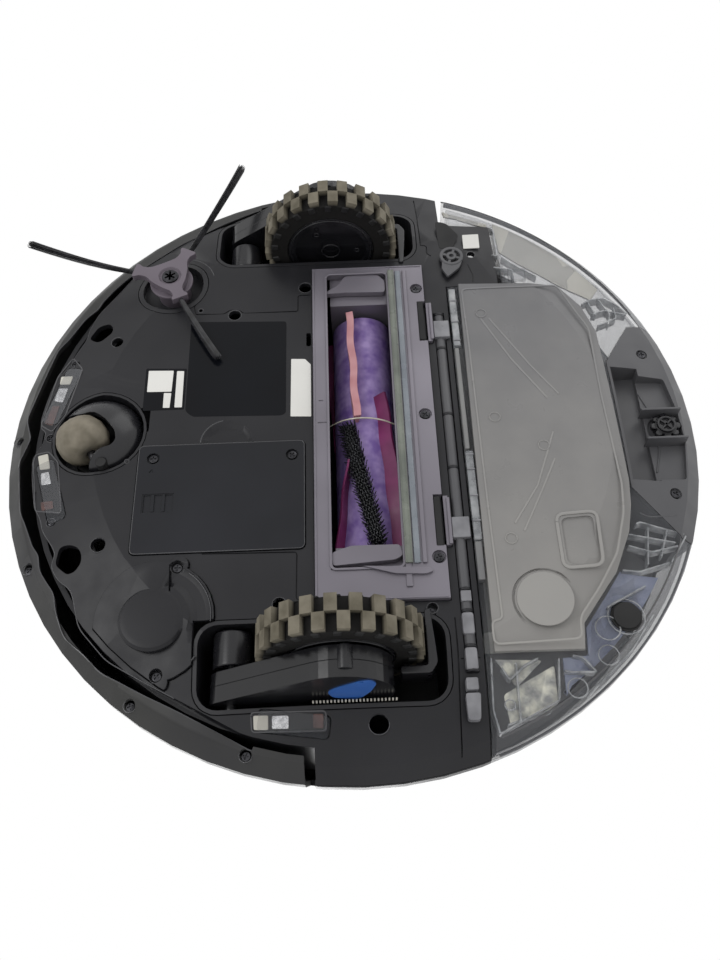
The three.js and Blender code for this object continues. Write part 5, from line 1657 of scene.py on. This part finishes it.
@dataclass
class BrushRoll:
    """The roll: a purple sleeve with pink and magenta fins, a strip of bristles and a stray cream string.

    The radius is the sleeve's and the tip is the fins' reach. The fins' tips lag behind their roots by the
    trail, in degrees, and their lines waver by the wave, with its turn in radians a millimetre.
    """

    body: str = "brush_roll"
    axis: Point = (7.0, 24.0)
    radius: float = 15.5
    tip: float = 21.8
    trail: float = 9.0
    wave: float = 1.2
    wave_turn: float = 0.22
    strands: int = 900

    def build(self) -> list[bpy.types.Object]:
        """Builds the roll's pieces.

        Returns:
            The finished pieces.
        """
        sleeve = Solid.disc((0, 0), self.radius, -65.6, 70.6, 128).bevelled(0.8, 3).along_x(0, *self.axis)
        pink = self.fin(((70, -26), (50, -27), (26, -24), (4, -20)), 10.0, 1.0)
        magenta = [self.fin(((19, 20), (-19, 33), (-65, 45)), 6.5),
                   self.fin(((-20, -34), (-42, -45), (-65, -56)), 6.5),
                   self.fin(((70, 120), (0, 140), (-65, 165)), 6.0),
                   self.fin(((70, -120), (0, -140), (-65, -165)), 6.0)]
        string = Solid().tube([self.at(3.4 - 3.0 * i / 24, -60 + 5 * i, 22.0) for i in range(25)], 0.38, 6)
        return [dressed("roll_sleeve", sleeve, BARREL, self.body, ["brush_sleeve"]),
                dressed("roll_fin_pink", pink, FIN_PINK, self.body),
                dressed("roll_fins_magenta", merged(magenta), FIN_MAGENTA, self.body),
                dressed("roll_string", string, ELASTIC, self.body),
                dressed("roll_bristles", self.bristles(), BRISTLE, self.body, ["bristle_strip"])]

    def at(self, x: float, degrees: float, reach: float) -> Point3:
        """A place on the roll.

        Args:
            x: Its place along the roll.
            degrees: Its direction, counted from straight down.
            reach: Its distance from the axis.

        Returns:
            The place.
        """
        y, z = self.axis
        angle = math.radians(degrees)
        return x, y + reach * math.sin(angle), z - reach * math.cos(angle)

    def fin(self, path: Outline, width: float, tip_share: float = 0.45) -> Solid:
        """A wavy fin that winds along the roll.

        Args:
            path: X and direction pairs of its middle line.
            width: Its thickness in degrees of the roll.
            tip_share: How thick its tip is, as a share of its root.

        Returns:
            The solid.
        """
        (first, start), *_, (last, stop) = path
        line = []
        for i in range(41):
            x = first + (last - first) * i / 40
            line.append((x, start + (stop - start) * i / 40 + self.wave * math.sin(x * self.wave_turn)))
        fin = Solid.ribbon(line, 1.0, self.radius - 0.6, self.tip)
        for vert in fin.mesh.verts:
            x, degrees, reach = vert.co
            at_tip = reach > self.radius
            middle = min(line, key=lambda place: math.dist(place, (x, degrees)))
            half = width / 2 * (tip_share if at_tip else 1.0)
            side = math.copysign(half, degrees - middle[1])
            vert.co = self.at(middle[0], middle[1] + side + (self.trail if at_tip else 0.0), reach)
        return fin.closed()

    def bristles(self) -> Solid:
        """The strip of black bristles, each a thin rod that leans a little.

        Returns:
            The solid.
        """
        strip = Solid()
        for k in range(self.strands):
            share = (k + 0.5) / self.strands
            x = 1.0 - 66.0 * share
            across = ((k * GOLDEN_SHARE) % 1.0 - 0.5) * 20.0
            lean = 5.0 * math.sin(k * 1.7)
            degrees = -28 + 38 * share + across
            root = self.at(x, degrees, self.radius - 0.5)
            strip.tube([root, self.at(x + 0.3 * lean, degrees + lean, self.tip)], 0.3)
        return strip


@dataclass
class SeamTrack:
    """The rail between the robot and the tank: brackets, clear tracks with rungs and end blocks."""

    def build(self) -> list[bpy.types.Object]:
        """Builds the rail's pieces on both sides of the seam.

        Returns:
            The finished pieces.
        """
        grey = [block(47.1, 57.6, 44.0, 52.0, -2.0, 4.0), block(-66.6, -56.2, 43.9, 52.0, -2.0, 4.0),
                block(-136.0, -130.6, 43.7, 49.0, -1.6, 3.0, 0.8), block(-97.0, -92.0, 45.0, 49.6, -1.6, 3.6),
                slab(((-137, 43.2), (-137, 49.6), (-148.4, 48.6), (-148.2, 43.5)), -0.8, 3.0, 1.2, 0.6),
                block(-112.0, -102.0, 44.4, 49.8, -1.8, 3.2, 1.2),
                block(-127.4, -117.6, 44.4, 49.8, -1.8, 3.2, 1.2)]
        collars = [Solid.disc((0, 0), 2.9, x, x + 1.6, 32).bevelled(0.3, 1).along_x(0, 47.3, 1.4)
                   for x in (-91.8, -101.8, -117.6, -128.0, 62.0, 40.0, 0.0, -30.0)]
        bar = [block(-20.5, 39.4, 53.6, 55.8, -2.2, 2.0), block(-87.5, -68.8, 53.5, 56.6, -1.8, 2.0),
               block(60.0, 78.0, 53.6, 56.0, -1.8, 2.0)]
        clear = [block(41.0, 78.5, 53.5, 57.0, -2.0, 0.5), block(-68.0, -21.4, 53.5, 57.0, -2.0, 0.5)]
        rungs = [block(x, x + 0.8, 53.4, 57.2, -2.5, -1.6, 0.2) for x in (-59, -46, -32, -24, 44, 56, 70)]
        return [dressed("seam_brackets", merged(grey), BRACKET, "chassis"),
                dressed("seam_collars", merged(collars), SHELL, "chassis"),
                dressed("seam_bars", merged(bar), LID_GREY, "tank"),
                dressed("seam_clear", merged(clear), CRYSTAL, "tank"),
                dressed("seam_rungs", merged(rungs), BRACKET, "tank")]


@dataclass
class ReleaseKnob:
    """The ring-shaped knob, its pocket, the grey plate and a blank white tag."""

    centre: Point = (101.0, 57.0)
    low: float = -3.2

    def build(self) -> list[bpy.types.Object]:
        """Builds the knob and what surrounds it.

        Returns:
            The finished pieces.
        """
        low = self.low
        ring = Solid.turned([(4.6, low), (6.4, low), (6.4, low + 2.0), (4.6, low + 2.0)], 64).bevelled(0.4, 2)
        bars = [Solid.box(-5, 5, -0.7, 0.7, low + 0.3, low + 1.7).turned_by(d, (0, 0)) for d in (20, 110)]
        hub = Solid.disc((0, 0), 2.7, low, 3.0, 40)
        ring.added(hub, *bars)
        ring.cut(Solid.disc((0, 0), 1.2, low - 1, low + 1.4, 24))
        ring.moved(*self.centre)
        arm = slab(((99.0, 51.9), (92.5, 51.2), (86.6, 54.0), (92.6, 60.6), (97.5, 62.6), (94.8, 58.2)),
                   low + 0.4, low + 2.0, 1.0)
        pocket = slab(((129.6, 50.6), (128.0, 56.3), (118.7, 62.6), (109.8, 58.9), (109.1, 51.2),
                       (126.4, 50.4)), -0.12, 0.3, 2.0, 0.1)
        tag = Solid.plate(softened(((118.4, 64.6), (118.6, 73.4), (108.6, 73.2), (108.4, 64.4)), 0.4), -0.3,
                          0.2)
        seam = Solid.ribbon(softened(((98.3, 65.4), (89.5, 67.9), (83.4, 67.3)), 2.0)[3:-3], 0.5, -0.12, 0.1)
        return [dressed("knob_ring", ring.joined(arm), REAR_GREY, "release_knob", ["release_knob"]),
                dressed("knob_pocket", pocket.joined(seam), RUBBER, "chassis"),
                dressed("knob_tag", tag, LABEL_WHITE, "chassis")]


@dataclass
class DustDoor:
    """The smoke-grey door: lips, ribs, a framed recess, a round boss and four small rings."""

    body: str = "bin_door"
    low: float = -3.0
    boss: Point = (-98.0, 81.0)
    rings: Sequence[Point] = ((60.4, 68.9), (-3.8, 69.2), (-20.7, 90.7), (-68.7, 69.7))
    outline: Outline = ((77, 60.2), (43.8, 60.8), (-54.9, 61), (-106.4, 61.6), (-107.4, 57), (-117.6, 57),
                        (-116.4, 94.0), (-107.0, 94.6), (-93.8, 105.0), (-77.8, 115.4), (-57.6, 121.8),
                        (-43, 123.5), (7.2, 122.2), (47.7, 122.6), (61, 116.8), (77.2, 110.2), (77.4, 74))
    ribs: Sequence[Outline] = (
        ((57.3, 68.2), (30.6, 81), (6, 96)), ((57.1, 72.5), (25.8, 90.3), (8.2, 101.8)),
        ((-13.3, 96.1), (-42.1, 85), (-61.3, 72.2)), ((-28.1, 94.9), (-46, 86), (-65.3, 76)))

    def build(self) -> list[bpy.types.Object]:
        """Builds the door's pieces.

        Returns:
            The finished pieces.
        """
        door = Solid.of_node("bin_door")
        groove = Solid.turned([(12.9, self.low - 2), (14.6, self.low - 2), (14.2, self.low + 1.1),
                               (13.3, self.low + 1.1)], 96).moved(*self.boss)
        recess = slab(((-59.6, 93), (-58.6, 107.6), (-81.4, 106.6), (-82.2, 93)), self.low - 2,
                      self.low + 1.0, 3.0)
        door.cut(groove, recess)
        loop = softened(self.outline, 3.0)
        lips = [Solid.ribbon([*loop, loop[0]], 1.0, self.low - 0.35, self.low + 0.1).bevelled(0.2, 2)]
        frame = softened(((-57.6, 91), (-56.6, 109.6), (-83.2, 108.6), (-84.2, 91)), 4.0)
        lips.append(Solid.ribbon([*frame, frame[0]], 1.6, self.low - 0.5, self.low + 0.1).bevelled(0.3, 2))
        lips += [Solid.ribbon(line, 1.0, self.low - 0.2, self.low + 0.1).bevelled(0.12, 1)
                 for line in self.ribs]
        lips.append(Solid.disc(self.boss, 12.4, self.low - 0.5, self.low + 0.2, 96).bevelled(0.35, 2))
        lips += [Solid.ring(p, 2.6, self.low, 0.4, 32, 6) for p in self.rings]
        return [dressed("door_panel", door, SMOKE, self.body, ["bin_door"], smooth=9),
                dressed("door_lips", merged(lips), SMOKE_LIP, self.body)]


@dataclass
class GripBlock:
    """The rear block: its finger recess, two fins, two beads, two screws and the lobed valve wheel."""

    valve: Point = (-6.0, 154.0)

    def build(self) -> list[bpy.types.Object]:
        """Builds the block and the wheel.

        Returns:
            The finished pieces.
        """
        screws = Screws("tank", "grip_screws", ((37.0, 149.9), (-44.1, 151.1)), seat=2.9, depth=1.4)
        grip = Solid.of_node("grip_block")
        pocket = Solid.plate(softened(((22.6, 143), (21.8, 158.2), (2.2, 161.4), (-14.1, 161.9),
                                       (-36.2, 158.2), (-37.4, 143)), 1.5), -4, 11.0)
        grip.cut(pocket, *screws.seats())
        fins = merged([block(0.9, 2.1, 142.5, 161.8, 3.0, 11.2, 0.3),
                       block(-15.6, -14.4, 142.5, 162.3, 3.0, 11.2, 0.3)])
        curve = Solid.ribbon(softened(((-36, 144.3), (-16.7, 150), (2.8, 149.6), (21.6, 143.4)), 6)[4:-4],
                             0.8, 10.4, 11.4).bevelled(0.2, 1)
        step = Solid.ribbon(softened(((-53.6, 128.6), (-57.0, 134.8), (-55.0, 152.4)), 3.0)[4:-4], 0.7, -0.1,
                            0.6).on_floor().bevelled(0.2, 1)
        return [dressed("grip_shell", grip, REAR_GREY, "tank", ["grip_block"], smooth=9),
                dressed("grip_fins", fins.joined(curve, step), REAR_GREY, "tank"),
                screws.build(), self.wheel()]

    def wheel(self) -> bpy.types.Object:
        """The valve's wheel: eight lobes below a ring with four spokes.

        Returns:
            The finished piece.
        """
        rim = Solid.turned([(3.4, 5.2), (4.6, 5.2), (4.6, 6.8), (3.4, 6.8)], 64).bevelled(0.3, 2)
        bars = [Solid.box(-3.8, 3.8, -0.45, 0.45, 5.4, 6.7).turned_by(d, (0, 0)) for d in (45, 135)]
        lobes = [Solid.disc(polar((0, 0), 5.6, 45 * i), 1.7, 6.9, 9.6, 20).bevelled(0.4, 2) for i in range(8)]
        core = Solid.disc((0, 0), 5.2, 6.6, 11.6, 48)
        wheel = merged([rim, core, *bars, *lobes]).moved(*self.valve)
        return dressed("valve_wheel", wheel, GLOSS_SOFT, "valve_knob", ["valve_knob"])


@dataclass
class TankModule:
    """What shows through the clear tank: cream panels, a bluish tray, patches of painted glints, walls and
    rings.

    Along its edge run grey lines, and a soft ring goes round the drain plug.
    """

    body: str = "tank"
    cream: Sequence[Outline] = (
        ((146.7, 56.2), (136, 81), (132.8, 80.3), (134.8, 74.5), (140.8, 62), (142.1, 56.8)),
        (*arc((0, 0), 160.5, 31.6, 58.0, 16), (76.2, 130.2), (82, 119.9), (86, 113.5), (93.2, 104.7),
         (101.3, 94.2), (110.8, 84.6)))
    blue: Sequence[Outline] = (
        ((-121, 87), (-136.5, 87), *arc((0, 0), 160.0, 147.5, 122.0, 14), (-84, 125), (-82.5, 118),
         (-95, 109.0), (-108, 99), (-120, 98.5)),)
    # Patches painted near white as glints on the tank's wet plastic.
    pale: Sequence[Outline] = (
        ((-121.5, 57), (-126, 61), (-133, 66), (-122, 78)),
        ((-124, 83), (-139.5, 83), (-144, 76), (-148.5, 62), (-136, 60)))
    walls: Sequence[Outline] = (
        ((68.7, 122.7), (73.2, 129), (75.6, 136.7), (70.5, 144), (64.4, 148.3)),
        ((54.9, 135.4), (64, 138), (75, 133)), ((61.8, 126.9), (66, 135), (64.4, 148.3)),
        ((54.1, 128.7), (61, 141), (70, 141)), ((62, 130), (72, 127)),
        ((-61.3, 127.4), (-59.7, 130.5), (-62.1, 139.8), (-64.4, 152.6)), ((-64.4, 152.6), (-78.4, 142.5)),
        ((-83, 117.3), (-83.6, 126.5), (-78.4, 142.5)), ((-71.2, 122), (-74, 134), (-70.2, 148.1)),
        ((-62, 134), (-80, 131)), ((-63, 143), (-76, 138)), ((-66, 124), (-69, 146)),
        ((130, 79.8), (128.1, 83.1), (104.1, 82.6), (104.3, 78.4)), ((94.4, 78.2), (92.7, 89.2), (82.5, 89)),
        ((104, 84), (96, 92), (88, 103)), ((-120.6, 55.7), (-142.7, 54.8), (-152.2, 57.0), (-139.1, 83.2),
                                          (-120.9, 84.8)),
        ((-124.7, 59.1), (-130.9, 62.8), (-124.8, 69.8), (-121.4, 76.8)), ((-123.8, 66), (-148, 66)),
        ((-120.7, 89.7), (-121.6, 95.2), (-127.7, 100.6), (-127.7, 88.9), (-126.9, 85.6)),
        ((-143, 79.5), (-148.7, 60.5)), ((-101, 131), (-118, 118), (-137, 96)), ((-90, 128), (-100, 109)))
    rings: Sequence[tuple[Point, float]] = (
        ((-120.6, 106.8), 4.4), ((-134.3, 91.5), 4.2), ((-109.1, 108), 5.4), ((-140.9, 62.0), 2.2),
        ((-104.0, 117.0), 8.0))
    plug: Point = (-104.0, 117.0)

    def build(self) -> list[bpy.types.Object]:
        """Builds the pieces seen through the tank.

        Returns:
            The finished pieces.
        """
        panels = [Solid.plate(line, 3.0, 4.0).on_floor() for line in self.cream]
        trays = [Solid.plate(line, 3.0, 4.0).on_floor() for line in self.blue]
        glints = [Solid.plate(softened(line, 1.5), 3.0, 4.0).on_floor() for line in self.pale]
        walls = [Solid.ribbon(softened(line, 1.2)[4:-4] if len(line) > 2 else line, 0.8, -0.25, 5.0)
                 .on_floor().bevelled(0.15, 1) for line in self.walls]
        rings = [Solid.ring(p, r, floor_of(p) - 0.05, 0.35, 40, 6) for p, r in self.rings]
        edge = [Solid.ribbon(arc((0, 0), 163.6, start, stop, 40), 0.9, -0.2, 0.6).on_floor().bevelled(0.2, 1)
                for start, stop in ((20.0, 66.5), (114.0, 159.5))]
        edge += [Solid.ribbon(arc((0, 0), 169.1, start, stop, 60), 1.0, 14.6, 17.6).bevelled(0.3, 1)
                 for start, stop in ((20.2, 71.0), (110.5, 160.4))]
        plug = Solid.ring(self.plug, 6.2, floor_of(self.plug) - 0.05, 0.7, 48)
        return [dressed("tank_panels", merged(panels), CREAM, self.body),
                dressed("tank_tray", merged(trays), TRAY_BLUE, self.body),
                dressed("tank_painted_glints", merged(glints), PAINTED_GLINT, self.body),
                dressed("tank_walls", merged([*walls, *rings]), CRYSTAL, self.body),
                dressed("tank_rim", merged(edge), REAR_GREY, self.body),
                dressed("plug_ring", plug, RUBBER, "drain_plug")]


@dataclass
class TopDeck:
    """The upper side: the top shell with its seam, the turret with its scanner's cap, and the two buttons."""

    seam_radius: float = 146.0
    cap_centre: Point = (0.0, 20.0)

    def build(self) -> list[bpy.types.Object]:
        """Builds the top shell, the turret, the scanner and the buttons' inlays.

        Returns:
            The finished pieces.
        """
        top = Solid.of_node("top_cover")
        r = self.seam_radius
        top.cut(Solid.turned([(r, 69.4), (r + 0.7, 69.4), (r + 0.7, 71.0), (r, 71.0)], 192))
        turret, rotor = Solid.of_node("turret_housing"), Solid.of_node("lidar_rotor")
        crown = Solid.turned([(27.0, 85.4), (28.0, 85.4), (28.0, 87.0), (27.0, 87.0)], 128)
        crown.moved(*self.cap_centre)
        turret.cut(crown)
        inlays = [Solid.turned([(2.6, 70.5), (3.2, 70.5), (3.2, 70.82), (2.6, 70.82)], 48).moved(x, -98.0)
                  for x in (17.0, -17.0)]
        return [dressed("top_shell", top, SHELL, "chassis", ["top_cover"], smooth=18),
                dressed("turret_shell", turret, SHELL, "chassis", ["turret_housing"], smooth=18),
                dressed("scanner_drum", rotor, GLOSS, "lidar_rotor", ["lidar_rotor"], smooth=18),
                dressed("clean_inlay", inlays[0], LID_GREY, "clean_button"),
                dressed("dock_inlay", inlays[1], LID_GREY, "dock_button")]


ASSEMBLIES: tuple[type, ...] = (
    Chassis, BumperRing, BatteryHatch, BlankCover, CasterSet, SideBrush, DriveWheel, CliffSensors,
    BrushCover, BrushRoll, SeamTrack, ReleaseKnob, DustDoor, GripBlock, TankModule, TopDeck)


@dataclass
class Studio:
    """The floor, the lights, the white surroundings and the camera."""

    camera_place: Point3 = (-0.243517, 0.003309, -0.328523)
    right: Point3 = (-0.033413, 0.999256, 0.019284)
    down: Point3 = (-0.868662, -0.038578, 0.493901)
    forward: Point3 = (0.494277, -0.000249, 0.869304)
    lens: float = 33.948
    ambient: float = 0.72
    floor_half: float = 25.0

    def build(self) -> None:
        """Makes everything round the robot."""
        self.make_camera()
        self.make_world()
        self.make_floor()
        self.make_lamps()

    def make_camera(self) -> None:
        """The camera, below the robot and looking up at its underside."""
        data = bpy.data.cameras.new("camera")
        data.sensor_fit = "VERTICAL"
        data.sensor_height = 36.0
        data.lens = self.lens
        data.clip_start = 0.01
        camera = bpy.data.objects.new("camera", data)
        right, up, back = Vector(self.right), -Vector(self.down), -Vector(self.forward)
        turn = Matrix((right, up, back)).transposed().to_4x4()
        camera.matrix_world = Matrix.Translation(self.camera_place) @ turn
        bpy.context.scene.collection.objects.link(camera)
        bpy.context.scene.camera = camera

    def make_world(self) -> None:
        """A soft even light, and white where the surroundings are seen or mirrored."""
        world = bpy.data.worlds.new("studio")
        bpy.context.scene.world = world
        recipe = Recipe("studio", world)
        rays = recipe.add("LightPath").outputs
        larger = {"operation": "MAXIMUM"}
        seen = recipe.add("Math", larger, {0: rays["Is Camera Ray"], 1: rays["Is Glossy Ray"]})
        either = recipe.add("Math", larger, {0: seen.outputs[0], 1: rays["Is Transmission Ray"]})
        strengths = {"Value": either.outputs[0], "To Min": self.ambient, "To Max": 1.0}
        strength = recipe.add("MapRange", None, strengths)
        light = recipe.add("Background", None, {"Color": (1, 1, 1, 1), "Strength": strength.outputs[0]})
        recipe.add("OutputWorld", None, {"Surface": light.outputs[0]})

    def make_floor(self) -> None:
        """A plain pale floor that is seen from above only, and keeps the robot's shadow."""
        recipe = Recipe("floor_painted_pale")
        path = recipe.add("LightPath")
        facing = recipe.add("Math", {"operation": "SUBTRACT"},
                            {0: 1.0, 1: recipe.add("NewGeometry").outputs["Backfacing"]}).outputs[0]
        seen = recipe.add("Math", {"operation": "MULTIPLY"},
                          {0: path.outputs["Is Camera Ray"], 1: facing}).outputs[0]
        clear = recipe.add("BsdfTransparent").outputs[0]
        paint = recipe.add("BsdfDiffuse", None, {"Color": linear("#f4f4f2")}).outputs[0]
        shader = recipe.add("MixShader", None, {0: seen, 1: clear, 2: paint}).outputs[0]
        mesh = bmesh.new()
        bmesh.ops.create_grid(mesh, x_segments=1, y_segments=1, size=self.floor_half)
        data = bpy.data.meshes.new("floor")
        mesh.to_mesh(data)
        mesh.free()
        data.materials.append(recipe.finished(shader))
        floor = bpy.data.objects.new("floor", data)
        floor.visible_shadow = False
        bpy.context.scene.collection.objects.link(floor)

    def make_lamps(self) -> None:
        """Large soft lamps: one that the underside mirrors, one above and one at the side."""
        self.lamp("key_below", (-0.03, -0.59, -0.72), (-0.1, -0.11, 0.04), 0.35, 2.0)
        self.lamp("fill_below", (0.9, 0.5, -0.7), (0.0, 0.0, 0.04), 0.9, 2.6)
        self.lamp("top_soft", (-0.4, -0.5, 1.3), (0.0, 0.0, 0.08), 1.2, 14.0)

    def lamp(self, name: str, place: Point3, target: Point3, size: float, power: float) -> None:
        """A square lamp that points at a target.

        Args:
            name: The lamp's name.
            place: Where it hangs.
            target: What it points at.
            size: Its side in metres.
            power: Its power in watts.
        """
        data = bpy.data.lights.new(name, "AREA")
        data.shape = "SQUARE"
        data.size = size
        data.energy = power
        lamp = bpy.data.objects.new(name, data)
        lamp.location = place
        heading = Vector(target) - Vector(place)
        lamp.rotation_euler = heading.to_track_quat("-Z", "Y").to_euler()
        bpy.context.scene.collection.objects.link(lamp)


def dress_packed_nodes() -> None:
    """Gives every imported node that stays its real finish."""
    special = {"bumper": BUMPER_SKIN, "tank_lid": LID_GREY, "fan_housing": LID_GREY}
    slots = {part["node"]: part["material_slot"] for part in FRAME["record"]["subparts"]}
    for name, node in FRAME["nodes"].items():
        finish = special.get(name, SLOT_FINISH[slots[name]])
        node.data.materials.clear()
        node.data.materials.append(finish.material())


def main() -> None:
    """Builds the studio and every sub-assembly."""
    logging.basicConfig(level=logging.INFO, format="%(message)s")
    bpy.context.scene.view_settings.view_transform = "Standard"
    Studio().build()
    dress_packed_nodes()
    for assembly in ASSEMBLIES:
        for piece in assembly().build():
            log.info("%s: %d faces", piece.name, len(piece.data.polygons))


if __name__ == "__main__":
    main()
